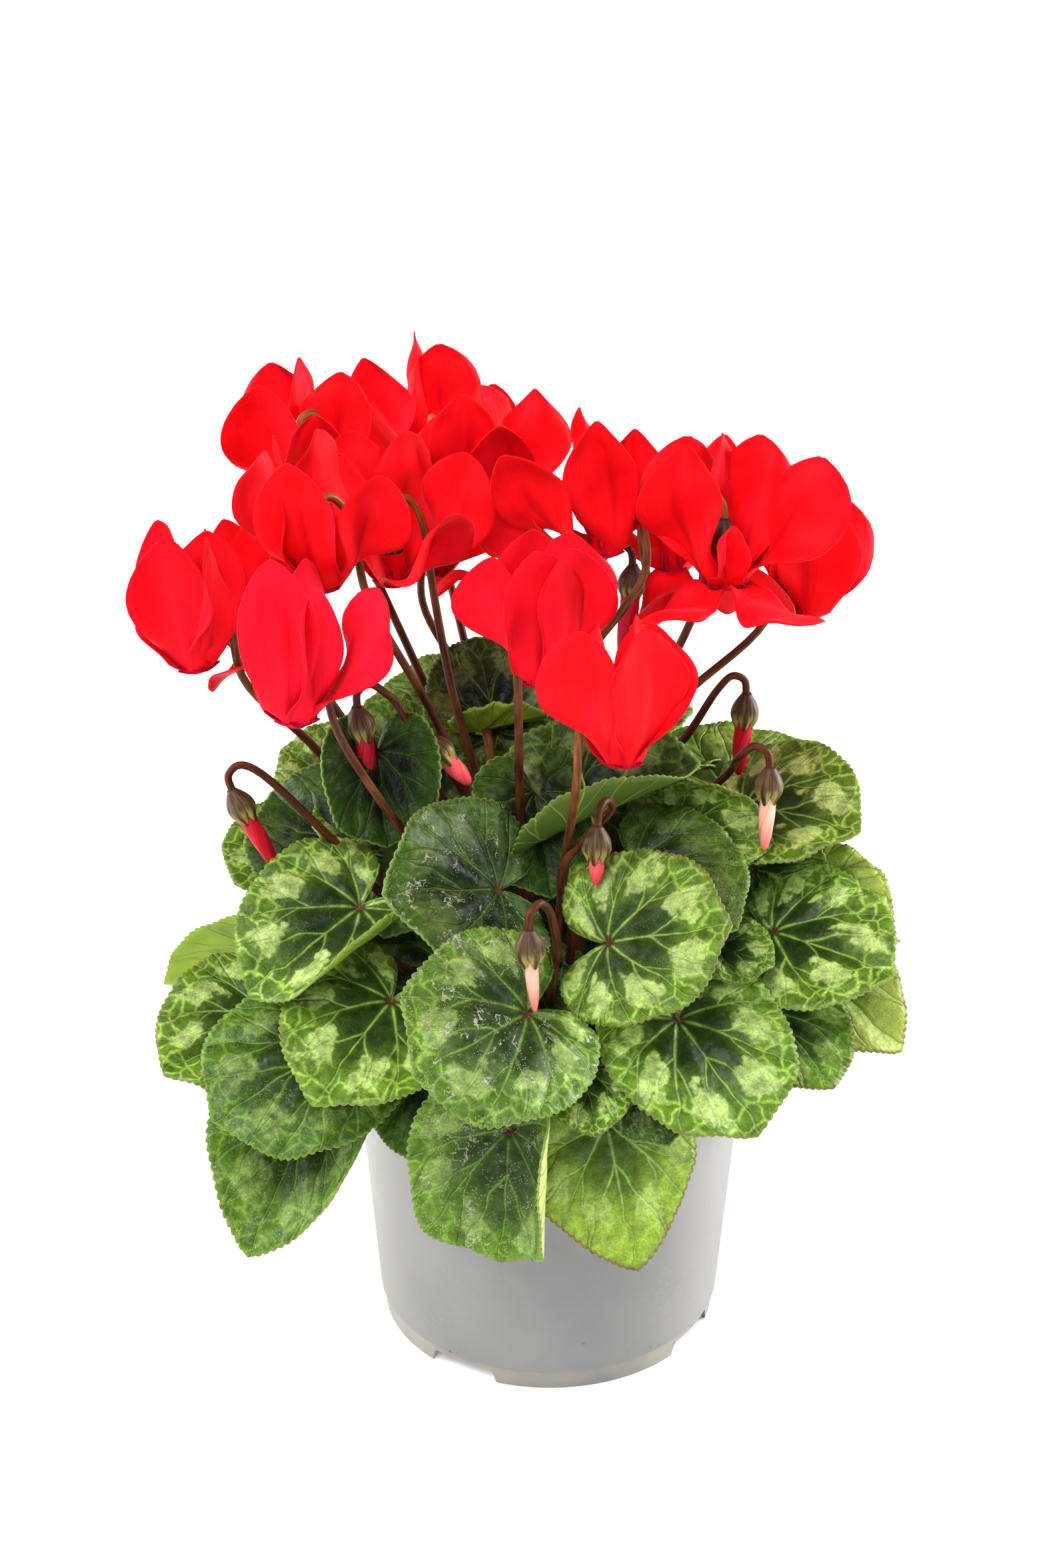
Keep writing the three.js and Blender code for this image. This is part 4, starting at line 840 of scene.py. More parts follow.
class Wiring:
    """Adds nodes to a node tree; a value given to one is a number, a colour or another node's output."""

    def __init__(self, tree):
        self.tree = tree

    def put(self, socket, value):
        if isinstance(value, bpy.types.NodeSocket):
            self.tree.links.new(value, socket)
        else:
            socket.default_value = (*value, 1) if socket.type == "RGBA" and len(value) == 3 else value

    def node(self, kind, inputs, **settings):
        made = self.tree.nodes.new("ShaderNode" + kind)
        for key, value in settings.items():
            setattr(made, key, value)
        for key, value in inputs.items():
            self.put(made.inputs[key], value)
        return made

    def math(self, operation, *values):
        return self.node("Math", dict(enumerate(values)), operation=operation).outputs[0]

    def in_turn(self, operation, first, *others):
        for other in others:
            first = self.math(operation, first, other)
        return first

    def plus(self, *terms):
        return self.in_turn("ADD", *terms)

    def times(self, *factors):
        return self.in_turn("MULTIPLY", *factors)

    def minus(self, a, b):
        return self.math("SUBTRACT", a, b)

    def apart(self, a, b):
        return self.math("ABSOLUTE", self.minus(a, b))

    def scaled(self, value, factor, offset):
        return self.math("MULTIPLY_ADD", value, factor, offset)

    def ramp(self, value, low, high, to_low=0.0, to_high=1.0):
        """Smoothly from to_low, where the value is low, to to_high, where it is high."""
        made = self.node("MapRange", {"Value": value, "From Min": low, "From Max": high, "To Min": to_low,
                                      "To Max": to_high}, interpolation_type="SMOOTHSTEP")
        return made.outputs["Result"]

    def mix(self, share, a, b, blend="MIX"):
        return self.node("Mix", {0: share, 6: a, 7: b}, data_type="RGBA", blend_type=blend).outputs[2]

    def shade(self, colour, brightness):
        return self.mix(1.0, colour, brightness, "MULTIPLY")

    def noise(self, place, scale, variant=0.0, detail=2.0, rough=0.5):
        made = self.node("TexNoise", {"Vector": place, "W": variant, "Scale": scale, "Detail": detail,
                                      "Roughness": rough}, noise_dimensions="4D")
        return made.outputs[0]

    def cells(self, place, scale, feature="F1", dimensions="3D"):
        made = self.node("TexVoronoi", {"Vector": place, "Scale": scale}, feature=feature,
                         voronoi_dimensions=dimensions)
        return made.outputs["Distance"]

    def split(self, vector):
        return self.node("SeparateXYZ", {"Vector": vector}).outputs

    def vector(self, x, y):
        return self.node("CombineXYZ", {"X": x, "Y": y}).outputs[0]

    def attribute(self, name, output="Fac"):
        return self.node("Attribute", {}, attribute_name=name).outputs[output]

    def place(self):
        """The piece's own surface map."""
        return self.node("UVMap", {}, uv_map="place").outputs[0]

    def spot(self):
        """The place in the object, in metres."""
        return self.node("TexCoord", {}).outputs["Object"]

    def leaf_values(self):
        """The blade's yellowness, silver and wear, the redness of its edge, its variant and the reach."""
        look, trim = (self.split(self.attribute(name, "Vector")) for name in ("look", "trim"))
        return *(look[k] for k in range(3)), *(trim[k] for k in range(3))

    def veins(self, variant, reach):
        made = self.tree.nodes.new("ShaderNodeGroup")
        made.node_tree = VEINS
        for key, value in (("Place", self.place()), ("Variant", variant), ("Reach", reach)):
            self.put(made.inputs[key], value)
        return made.outputs


def new_finish(name, **sockets):
    """A material with its own shader; the plain values are set on the shader's own sockets."""
    material = bpy.data.materials.new(name)
    material.use_nodes = True
    wiring = Wiring(material.node_tree)
    shader = material.node_tree.nodes["Principled BSDF"]
    for key, value in sockets.items():
        wiring.put(shader.inputs[key.replace("_", " ").title().replace("Ior", "IOR")], value)
    return material, wiring, shader


def relief(wiring, shader, height, depth):
    """Feeds a height, 0 to 1, to the shader as a relief of that depth in mm."""
    bump = wiring.node("Bump", {"Height": height, "Distance": depth * MM})
    wiring.put(shader.inputs["Normal"], bump.outputs[0])


def vein_group():
    """Veins of a blade: the main ones fan out from the notch, fork twice and end in a net near the rim."""
    tree = bpy.data.node_groups.new("leaf veins", "ShaderNodeTree")
    for label, kind in (("Place", "Vector"), ("Variant", "Float"), ("Reach", "Float")):
        tree.interface.new_socket(label, in_out="INPUT", socket_type="NodeSocket" + kind)
    for label in ("Veins", "Net", "Halo", "Middle", "Radius"):
        tree.interface.new_socket(label, in_out="OUTPUT", socket_type="NodeSocketFloat")
    tree.interface.new_socket("Blade Place", in_out="OUTPUT", socket_type="NodeSocketVector")
    given = tree.nodes.new("NodeGroupInput").outputs
    wanted = tree.nodes.new("NodeGroupOutput").inputs
    w = Wiring(tree)
    variant, reach = given["Variant"], given["Reach"]
    mapped = w.split(given["Place"])
    x = w.scaled(mapped[0], 1.5, -0.4)
    y = w.scaled(mapped[1], 1.5, -0.75)
    place = w.vector(x, y)
    radius = w.math("SQRT", w.plus(w.times(x, x), w.times(y, y)))
    sway = w.minus(w.noise(place, 3.2, variant), 0.5)
    angle = w.math("ABSOLUTE", w.plus(w.math("ARCTAN2", y, x), w.times(sway, 0.34, radius)))
    swept = w.times(angle, w.scaled(radius, VEIN_SWEEP, 1.0))
    turn = w.math("DIVIDE", swept, VEIN_SPACING)
    signed = w.minus(w.math("FRACT", w.plus(turn, 0.5)), 0.5)
    off = w.times(w.math("ABSOLUTE", signed), VEIN_SPACING)
    main = w.times(off, radius)
    jolt = w.times(w.minus(w.noise(place, 4.0, variant, 1.0), 0.5), 0.22)
    run = w.plus(radius, jolt, w.times(w.math("SIGN", signed), 0.05))
    past_fork = w.math("MAXIMUM", w.minus(run, 0.33), 0.0)
    branch = w.plus(w.times(w.apart(main, w.times(past_fork, 0.58)), 0.85), 0.0015)
    between = w.times(w.minus(VEIN_SPACING / 2, off), radius)
    between = w.plus(between, w.ramp(run, 0.5, 0.62, 0.06, 0.003))
    near = w.math("MINIMUM", w.math("MINIMUM", main, between), branch)
    thin = w.ramp(reach, 0.0, 1.0, 0.0125, 0.0085)
    bent = w.node("TexNoise", {"Vector": place, "Scale": 6.0, "W": variant}, noise_dimensions="4D").outputs[1]
    warped = w.node("VectorMath", {0: bent, 1: (0.16, 0.16, 0.0), 2: w.vector(w.plus(x, variant), y)},
                    operation="MULTIPLY_ADD").outputs[0]
    from_edge = w.cells(warped, 8.0, "DISTANCE_TO_EDGE", "2D")
    w.put(wanted["Veins"], w.ramp(w.math("DIVIDE", near, thin), 0.15, 1.5, 1.0, 0.0))
    w.put(wanted["Net"], w.times(w.ramp(from_edge, 0.01, 0.15, 1.0, 0.0), w.ramp(reach, 0.42, 0.75)))
    w.put(wanted["Halo"], w.ramp(near, 0.0, 0.05, 1.0, 0.0))
    w.put(wanted["Middle"], w.math("DIVIDE", off, VEIN_SPACING / 2))
    w.put(wanted["Radius"], radius)
    w.put(wanted["Blade Place"], place)
    return tree


def marbled(w, silver, variant, outward, vein, green):
    """Silver green between the veins: a soft haze, a net near the rim, the veins and ragged blobs."""
    place = vein["Blade Place"]
    middle = w.ramp(vein["Middle"], 0.05, 0.7)
    islands = w.noise(place, 9.0, w.plus(variant, 9.0))
    ragged = w.scaled(w.noise(place, 30.0, w.plus(variant, 6.0), 3.0, 0.6), 0.2, -0.1)
    from_ring = w.apart(outward, 0.68)
    blob = w.plus(w.times(middle, 0.42), ragged, w.minus(islands, w.times(from_ring, 1.5)))
    hole = w.times(w.ramp(w.noise(place, 24.0, variant, 3.0, 0.6), 0.46, 0.62),
                   w.ramp(w.noise(place, 7.0, w.plus(variant, 3.0), 1.0), 0.44, 0.62))
    blob = w.times(w.ramp(blob, 0.62, 0.78), w.minus(1.0, w.times(hole, 0.4)), silver)
    haze = w.times(w.ramp(outward, 0.36, 0.72), w.ramp(middle, 0.0, 1.0, 0.4, 1.0), silver, 0.32)
    green = w.mix(haze, green, SILVER_HAZE)
    return w.mix(w.times(vein["Net"], w.ramp(outward, 0.52, 0.8), silver, 0.9), green, VEIN_NET), blob


def leaf_upper_finish():
    """Dark green marbled with silver green, with pale veins, a red notch and, on old leaves, dry wear and a
    grey film that is partly painted sheen.
    """
    material, w, shader = new_finish("leaf upper face", subsurface_weight=0.03, subsurface_scale=0.002,
                                     specular_ior_level=0.2)
    yellow, silver, wear, red_edge, variant, reach = w.leaf_values()
    vein = w.veins(variant, reach)
    place = vein["Blade Place"]
    cloud = w.noise(place, 4.0, variant, 3.0)
    fine = w.noise(place, 26.0, variant, 3.0)

    outward = w.plus(reach, w.scaled(cloud, 0.4, -0.2))
    green = w.mix(w.ramp(outward, 0.35, 0.9), LEAF_HEART, LEAF_OUTER)
    green = w.mix(w.times(yellow, w.ramp(outward, 0.2, 0.9, 0.2, 0.75)), green, LEAF_YELLOWED)
    green = w.mix(w.times(vein["Halo"], 0.4), green, VEIN_HALO)
    green, blob = marbled(w, silver, variant, outward, vein, green)
    clean = w.minus(1.0, w.times(wear, 0.6))
    shown = w.ramp(silver, 0.0, 0.7, 0.25, 0.8)
    green = w.mix(w.times(vein["Veins"], w.ramp(reach, 0.4, 1.0, 1.0, 0.75), clean, shown), green, VEIN)
    green = w.mix(w.times(blob, 0.9), green, SILVER_BLOB)
    flecks = w.noise(place, 10.0, w.plus(variant, 1.0), 6.0, 0.7)
    green = w.shade(green, w.ramp(flecks, 0.3, 0.7, 0.55, 1.45))
    green = w.mix(w.times(w.ramp(yellow, 1.0, 1.8), w.ramp(outward, 0.3, 0.8), 0.8), green, LEAF_PALE)
    # Blades with little yellow are darkened: their own tone, and painted shade on leaves deep in the mound
    green = w.shade(green, w.ramp(yellow, 0.0, 0.24, 0.58, 1.0))
    grains = w.noise(place, 70.0, variant, 3.0, 0.7)
    green = w.shade(green, w.ramp(grains, 0.35, 0.65, 0.80, 1.20))

    spot = w.ramp(w.plus(vein["Radius"], w.scaled(fine, 0.04, -0.02)), 0.025, 0.075, 1.0, 0.0)
    green = w.mix(w.times(spot, 0.85), green, NOTCH_RED)
    green = w.mix(w.ramp(reach, 0.965, 0.99, 0.0, 0.6), green, RIM_LIME)
    patch = w.noise(place, 2.6, w.plus(variant, 11.0), 3.0)
    rust = w.times(w.ramp(w.plus(reach, w.scaled(cloud, 0.06, -0.03)), 0.965, 0.995),
                   w.ramp(w.plus(red_edge, patch), 0.9, 1.35))
    green = w.mix(w.times(rust, 0.7), green, RIM_RUST)

    ridge = w.apart(w.noise(place, 5.0, w.plus(variant, 5.0), 5.0, 0.58), 0.5)
    crusted = w.ramp(w.noise(place, 6.0, w.plus(variant, 7.0), 3.0), 0.5, 0.56)
    crust = w.times(w.ramp(ridge, 0.004, 0.014, 1.0, 0.0), crusted, w.ramp(wear, 0.2, 0.6))
    # A dull grey-green film on old leaves, which is partly a painted sheen
    filmy_sheen = w.noise(place, 6.0, w.plus(variant, 2.0), 6.0, 0.7)
    green = w.mix(w.times(wear, w.ramp(filmy_sheen, 0.44, 0.64, 0.0, 0.6)), green, OLD_LEAF_FILM_AND_SHEEN)
    green = w.mix(w.times(crust, 0.8), green, OLD_LEAF_CRUST)
    gritty = w.ramp(w.noise(place, 11.0, variant), 0.48, 0.58)
    grit = w.times(w.ramp(w.cells(place, 46.0, "F1", "2D"), 0.13, 0.09), gritty,
                   w.ramp(wear, 0.0, 0.4, 0.12, 0.85))
    w.put(shader.inputs["Base Color"], w.mix(grit, green, GRIT))
    w.put(shader.inputs["Roughness"], w.scaled(fine, 0.2, w.scaled(crust, 0.3, 0.30)))
    height = w.minus(w.times(fine, 0.25), w.times(vein["Veins"], 0.55))
    height = w.minus(height, w.times(vein["Halo"], 0.35))
    swell = w.noise(place, 9.0, w.plus(variant, 8.0))
    relief(w, shader, w.plus(height, w.times(crust, 0.35), w.times(swell, 1.6)), 0.55)
    return material


def leaf_underside_finish():
    """Light green with raised veins, with painted shade under dark leaves and creamy under old ones."""
    material, w, shader = new_finish("leaf underside", roughness=0.5, subsurface_weight=0.1,
                                     subsurface_scale=0.002, specular_ior_level=0.35)
    yellow, _, wear, _, variant, reach = w.leaf_values()
    vein = w.veins(variant, reach)
    cloud = w.noise(vein["Blade Place"], 5.0, variant, 3.0)
    green = w.mix(w.ramp(cloud, 0.3, 0.7), *UNDERSIDE_GREENS)
    # Painted shade: the undersides of dark leaves are darkened
    green = w.mix(w.ramp(yellow, 0.0, 0.34, 0.85, 0.1), green, UNDERSIDE_PAINTED_SHADE)
    green = w.mix(w.ramp(wear, 0.15, 0.45, 0.0, 0.8), green, UNDERSIDE_CREAM)
    w.put(shader.inputs["Base Color"], w.mix(w.times(vein["Veins"], 0.75), green, UNDERSIDE_VEIN))
    relief(w, shader, w.plus(w.times(vein["Veins"], 0.8), w.times(cloud, 0.2)), 0.5)
    return material


def leaf_edge_finish():
    """The cut edge: lime green, with patches of rust on leaves with red edges."""
    material, w, shader = new_finish("leaf edge", roughness=0.5)
    red_edge, variant = w.leaf_values()[3:5]
    patch = w.ramp(w.noise(w.place(), 30.0, variant), 0.4, 0.6)
    rust = w.times(w.ramp(red_edge, 0.2, 0.8), patch)
    w.put(shader.inputs["Base Color"], w.mix(rust, EDGE_GREEN, EDGE_RUST))
    return material


def stem_finish():
    """Brown-maroon skin, more olive towards the top, with fine lengthwise streaks."""
    material, w, shader = new_finish("stem skin", subsurface_weight=0.05, subsurface_scale=0.001,
                                     specular_ior_level=0.14)
    rise, variant = w.attribute("rise"), w.attribute("variant")
    mapped = w.split(w.place())
    streak = w.noise(w.vector(w.times(mapped[0], 9.0), w.times(mapped[1], 0.12)), 1.0, variant, 3.0)
    patch = w.noise(w.spot(), 90.0, variant, 3.0)
    brown = w.mix(w.ramp(streak, 0.3, 0.7), *STEM_BROWNS)
    olive = w.mix(w.ramp(streak, 0.3, 0.7), *STEM_OLIVES)
    turned_olive = w.ramp(w.plus(rise, w.scaled(patch, 0.6, -0.3)), 0.2, 0.78, 0.0, 0.9)
    w.put(shader.inputs["Base Color"], w.mix(turned_olive, brown, olive))
    w.put(shader.inputs["Roughness"], w.ramp(patch, 0.3, 0.7, 0.34, 0.5))
    relief(w, shader, w.plus(streak, w.times(patch, 0.5)), 0.12)
    return material


def calyx_finish():
    """Brown-olive sepals with yellow-green flanks and dark streaks."""
    material, w, shader = new_finish("sepals", roughness=0.4, subsurface_weight=0.05, subsurface_scale=0.001,
                                     specular_ior_level=0.3)
    mapped = w.split(w.place())
    height = mapped[1]
    across = w.math("ABSOLUTE", w.scaled(w.math("FRACT", mapped[0]), 2.0, -1.0))
    streaked = w.vector(w.times(mapped[0], 5.0), w.times(height, 0.10))
    streak = w.noise(streaked, 1.0, w.attribute("variant"), 4.0, 0.6)
    olive = w.mix(w.ramp(streak, 0.35, 0.65), *SEPAL_OLIVES)
    flank = w.times(w.ramp(across, 0.2, 0.45), w.ramp(height, 5.0, 1.5), w.ramp(across, 0.99, 0.88))
    colour = w.mix(w.times(flank, 0.9), olive, SEPAL_FLANK)
    colour = w.mix(w.ramp(height, 5.5, 9.0, 0.0, 0.85), colour, SEPAL_CROWN)
    colour = w.mix(w.ramp(streak, 0.56, 0.62, 0.0, 0.75), colour, SEPAL_STREAK)
    colour = w.mix(w.ramp(across, 0.9, 1.0, 0.0, 0.8), colour, SEPAL_SEAM)
    w.put(shader.inputs["Base Color"], w.mix(w.ramp(across, 0.12, 0.0, 0.0, 0.7), colour, SEPAL_RIDGE))
    relief(w, shader, streak, 0.15)
    return material


def petal_finish():
    """Scarlet velvet, crimson at the nose, with fine veins that run up the petal and painted shade in its
    folds.
    """
    material, w, shader = new_finish("petal", subsurface_weight=0.08, subsurface_scale=0.002,
                                     specular_ior_level=0.06, sheen_weight=0.16, sheen_roughness=0.35,
                                     sheen_tint=(1.0, 0.30, 0.36))
    variant = w.attribute("variant")
    mapped = w.split(w.place())
    side, up = mapped[0], mapped[1]
    across = w.math("ABSOLUTE", w.scaled(side, 2.0, -1.0))
    spread = w.times(w.minus(side, 0.5), w.minus(1.25, w.times(up, 0.45)))
    line = w.noise(w.vector(w.times(spread, 30.0), w.times(up, 1.3)), 1.0, variant, 3.0, 0.6)
    cloud = w.noise(w.vector(side, w.times(up, 2.0)), 2.4, variant, 3.0)
    red = w.mix(w.ramp(cloud, 0.3, 0.75), *PETAL_REDS)
    red = w.mix(w.ramp(line, 0.52, 0.75, 0.0, 0.22), red, PETAL_VEIN)
    red = w.mix(w.times(w.attribute("tint"), 0.8), red, PETAL_PINKER)
    # Painted shade in the fold, on the rolled side and at the overlapped sides of the foot
    red = w.mix(w.ramp(w.attribute("painted_shade"), 0.1, 1.0, 0.0, 0.8), red, PETAL_PAINTED_SHADE)
    red = w.mix(w.ramp(across, 0.94, 1.0, 0.0, 0.5), red, PETAL_RIM)
    blush = w.ramp(w.noise(w.vector(side, up), 1.6, w.plus(variant, 4.0), 1.0), 0.5, 0.75)
    red = w.mix(w.times(blush, w.ramp(up, 0.1, 0.4), 0.5), red, PETAL_BLUSH)
    red = w.mix(w.ramp(up, 0.10, 0.0, 0.0, 0.55), red, PETAL_FOOT)
    red = w.mix(w.ramp(up, 0.014, -0.012, 0.0, 0.8), red, PETAL_NOSE)
    red = w.mix(w.ramp(up, -0.05, -0.14, 0.0, 0.7), red, PETAL_THROAT)
    pollen = w.times(w.ramp(w.cells(w.vector(side, w.times(up, 2.0)), 20.0), 0.075, 0.05),
                     w.ramp(w.noise(w.vector(side, up), 5.0, variant), 0.56, 0.62))
    w.put(shader.inputs["Base Color"], w.mix(w.times(pollen, 0.55), red, POLLEN))
    w.put(shader.inputs["Roughness"], w.ramp(line, 0.3, 0.7, 0.48, 0.62))
    relief(w, shader, w.plus(line, w.times(cloud, 0.4)), 0.16)
    return material


def bud_finish(tint, body, tip, seam):
    """Petals wound into a spindle, with the seam's colour at their laps, in fine veins and at the mouth."""
    material, w, shader = new_finish("bud petals " + tint, roughness=0.45, subsurface_weight=0.12,
                                     subsurface_scale=0.002, specular_ior_level=0.25)
    mapped = w.split(w.place())
    along = mapped[1]
    veined = w.vector(w.times(mapped[0], 7.0), w.times(along, 1.5))
    line = w.noise(veined, 1.0, w.attribute("variant"), 3.0)
    colour = w.mix(w.ramp(along, 0.35, 1.0), body, tip)
    colour = w.mix(w.ramp(line, 0.5, 0.75, 0.0, 0.35), colour, seam)
    colour = w.mix(w.ramp(w.math("FRACT", mapped[0]), 0.1, 0.0, 0.0, 0.8), colour, seam)
    w.put(shader.inputs["Base Color"], w.mix(w.ramp(along, 0.1, 0.0, 0.0, 0.5), colour, seam))
    relief(w, shader, line, 0.1)
    return material


def soil_finish():
    """Damp dark peat with paler fibres and grains."""
    material, w, shader = new_finish("peat", roughness=0.9, specular_ior_level=0.25)
    spot = w.spot()
    lump = w.noise(spot, 160.0, 0.0, 6.0, 0.65)
    colour = w.mix(w.ramp(lump, 0.35, 0.65), *PEAT_BROWNS)
    colour = w.mix(w.ramp(w.noise(spot, 420.0, 2.0, 3.0), 0.6, 0.72, 0.0, 0.7), colour, PEAT_FIBRE)
    w.put(shader.inputs["Base Color"], colour)
    relief(w, shader, w.plus(lump, w.times(w.cells(spot, 900.0), -0.6)), 1.2)
    return material


def fibre_finish():
    """Rootlets of a light and a darker brown."""
    material, w, shader = new_finish("root fibre", roughness=0.75)
    patch = w.noise(w.spot(), 700.0)
    w.put(shader.inputs["Base Color"], w.mix(w.ramp(patch, 0.35, 0.65), *FIBRE_BROWNS))
    return material


def corm_finish():
    """Cracked brown bark."""
    material, w, shader = new_finish("corm bark", roughness=0.8)
    spot = w.spot()
    crack = w.cells(spot, 260.0, "DISTANCE_TO_EDGE")
    patch = w.noise(spot, 120.0, 0.0, 4.0)
    colour = w.mix(w.ramp(patch, 0.35, 0.65), *BARK_BROWNS)
    w.put(shader.inputs["Base Color"], w.mix(w.ramp(crack, 0.12, 0.0), colour, BARK_CRACK))
    relief(w, shader, w.plus(w.ramp(crack, 0.0, 0.2), patch), 0.8)
    return material


def pot_finish():
    """Pale lilac-grey plastic: cloudy, with faint scuffs, a stained foot band and specks of dirt."""
    material, w, shader = new_finish("pot plastic", sheen_weight=0.42, sheen_roughness=0.4,
                                     sheen_tint=(1.0, 0.93, 0.86), subsurface_weight=0.08,
                                     subsurface_scale=0.004, specular_ior_level=0.5)
    spot = w.spot()
    height = w.split(spot)[2]
    cloud = w.noise(spot, 28.0, 0.0, 4.0)
    colour = w.mix(w.ramp(cloud, 0.3, 0.72), *PLASTIC_GREYS)
    colour = w.mix(w.ramp(w.noise(spot, 9.0, 4.0), 0.4, 0.7, 0.0, 0.4), colour, PLASTIC_HAZE)

    stretch = {"Vector": spot, "Scale": (0.35, 0.35, 1.0), "Rotation": (0.2, 0.5, 0.3)}
    scratch = w.ramp(w.noise(w.node("Mapping", stretch).outputs[0], 420.0, 1.0, 5.0, 0.7), 0.62, 0.69)
    hair = w.apart(w.noise(spot, 95.0, 9.0, 4.0, 0.62), 0.5)
    scratch = w.math("MAXIMUM", scratch, w.ramp(hair, 0.002, 0.008, 0.45, 0.0))
    scuff = w.times(scratch, w.ramp(w.noise(spot, 45.0, 7.0), 0.48, 0.66))
    colour = w.mix(w.times(scuff, 0.3), colour, PLASTIC_SCUFF)

    stained = w.ramp(w.noise(spot, 50.0, 5.0, 4.0), 0.3, 0.65, 0.1, 0.75)
    colour = w.mix(w.times(w.ramp(height, 0.0078, 0.0064), stained), colour, FOOT_STAIN)
    speck = w.times(w.ramp(w.cells(spot, 210.0), 0.16, 0.08), w.ramp(w.noise(spot, 60.0, 3.0), 0.52, 0.62),
                    w.ramp(height, 0.03, 0.004, 0.1, 0.9))
    colour = w.mix(speck, colour, DIRT)
    crumb = w.times(w.ramp(w.noise(spot, 170.0, 12.0, 5.0, 0.62), 0.63, 0.68), w.ramp(height, 0.012, 0.005))
    w.put(shader.inputs["Base Color"], w.mix(crumb, colour, CRUMB))
    w.put(shader.inputs["Roughness"], w.plus(w.ramp(cloud, 0.3, 0.7, 0.34, 0.46), w.times(scuff, 0.2)))
    relief(w, shader, w.plus(w.times(cloud, 0.5), w.times(scuff, 0.5)), 0.12)
    return material


VEINS = vein_group()
LEAF_UPPER = leaf_upper_finish()
LEAF_UNDERSIDE = leaf_underside_finish()
LEAF_EDGE = leaf_edge_finish()
STEM = stem_finish()
CALYX = calyx_finish()
PETAL = petal_finish()
BUD = {tint: bud_finish(tint, *colours) for tint, colours in BUD_COLOURS.items()}
PEAT = soil_finish()
FIBRE = fibre_finish()
BARK = corm_finish()
PLASTIC = pot_finish()


# Pot

def outer_radius(height):
    return POT_BASE_RADIUS + (POT_RIM_RADIUS - POT_BASE_RADIUS) * height / POT_HEIGHT


def inner_radius(height):
    return outer_radius(height) - POT_WALL


def pot_profile():
    """Half a section of the pot, as (radius, height), from the middle of its underside round to its floor."""
    floor_top = FLOOR_UNDERSIDE + POT_WALL
    lip_foot = POT_HEIGHT - LIP_HEIGHT
    lip = outer_radius(POT_HEIGHT) + LIP_DEPTH
    foot_inside = FOOT_RADIUS - POT_WALL
    return [
        (0, 0), (HUB_RADIUS - 0.4, 0), (HUB_RADIUS, 0.4), (HUB_RADIUS, FLOOR_UNDERSIDE - 0.5),
        (HUB_RADIUS + 0.5, FLOOR_UNDERSIDE), (foot_inside - 1.1, FLOOR_UNDERSIDE),
        (foot_inside - 0.6, FLOOR_UNDERSIDE - 0.4), (foot_inside, 0.3), (foot_inside + 0.3, 0),
        (FOOT_RADIUS - 0.3, 0), (FOOT_RADIUS, 0.3), (FOOT_RADIUS + 0.3, FOOT_HEIGHT - 0.3),
        (FOOT_RADIUS + 0.45, FOOT_HEIGHT + 0.05), (outer_radius(FOOT_HEIGHT), FOOT_HEIGHT + 0.5),
        (outer_radius(FOOT_HEIGHT + 1), FOOT_HEIGHT + 1.2), (outer_radius(lip_foot) - 0.03, lip_foot - 0.5),
        (outer_radius(lip_foot) + 0.15, lip_foot - 0.1), (lip - 0.2, lip_foot), (lip, lip_foot + 0.3),
        (lip, POT_HEIGHT - 0.5), (lip - 0.2, POT_HEIGHT - 0.12), (lip - 0.5, POT_HEIGHT),
        (inner_radius(POT_HEIGHT) + 0.4, POT_HEIGHT), (inner_radius(POT_HEIGHT), POT_HEIGHT - 0.4),
        (inner_radius(floor_top + 1), floor_top + 1), (inner_radius(floor_top) - 1, floor_top),
        (0, floor_top),
    ]


def foot_arch(heading):
    """The block that cuts one arch out of the foot ring, narrower at its top, with rounded edges."""
    bpy.ops.mesh.primitive_cube_add(size=1)
    arch = bpy.context.object
    half = math.radians(ARCH_WIDTH / 2) * FOOT_RADIUS
    out, along = sideways(heading), sideways(heading + 90)
    for vertex in arch.data.vertices:
        x, y, z = (1 if c > 0 else -1 for c in vertex.co)
        wide, high = (half, -1) if z < 0 else (ARCH_TAPER * half, ARCH_HEIGHT)
        vertex.co = (along * x * wide + out * (FOOT_RADIUS + 5 * y) + UPWARDS * high) * MM
    with editing(arch):
        bpy.ops.mesh.normals_make_consistent(inside=False)
    apply_modifier(arch, "BEVEL", width=ARCH_ROUNDING * MM, segments=4, limit_method="ANGLE")
    return arch


def drain_drill(heading):
    """The round bar that drills one drain hole through the floor."""
    x, y, _ = sideways(heading) * DRAIN_HOLE_RING * MM
    bpy.ops.mesh.primitive_cylinder_add(vertices=28, radius=DRAIN_HOLE_RADIUS * MM, depth=4 * MM,
                                        location=(x, y, (FLOOR_UNDERSIDE + POT_WALL / 2) * MM))
    return bpy.context.object


def cut(pot, tool):
    """Takes the tool's shape out of the pot, and then the tool out of the scene."""
    apply_modifier(pot, "BOOLEAN", operation="DIFFERENCE", object=tool, solver="EXACT")
    bpy.data.objects.remove(tool)


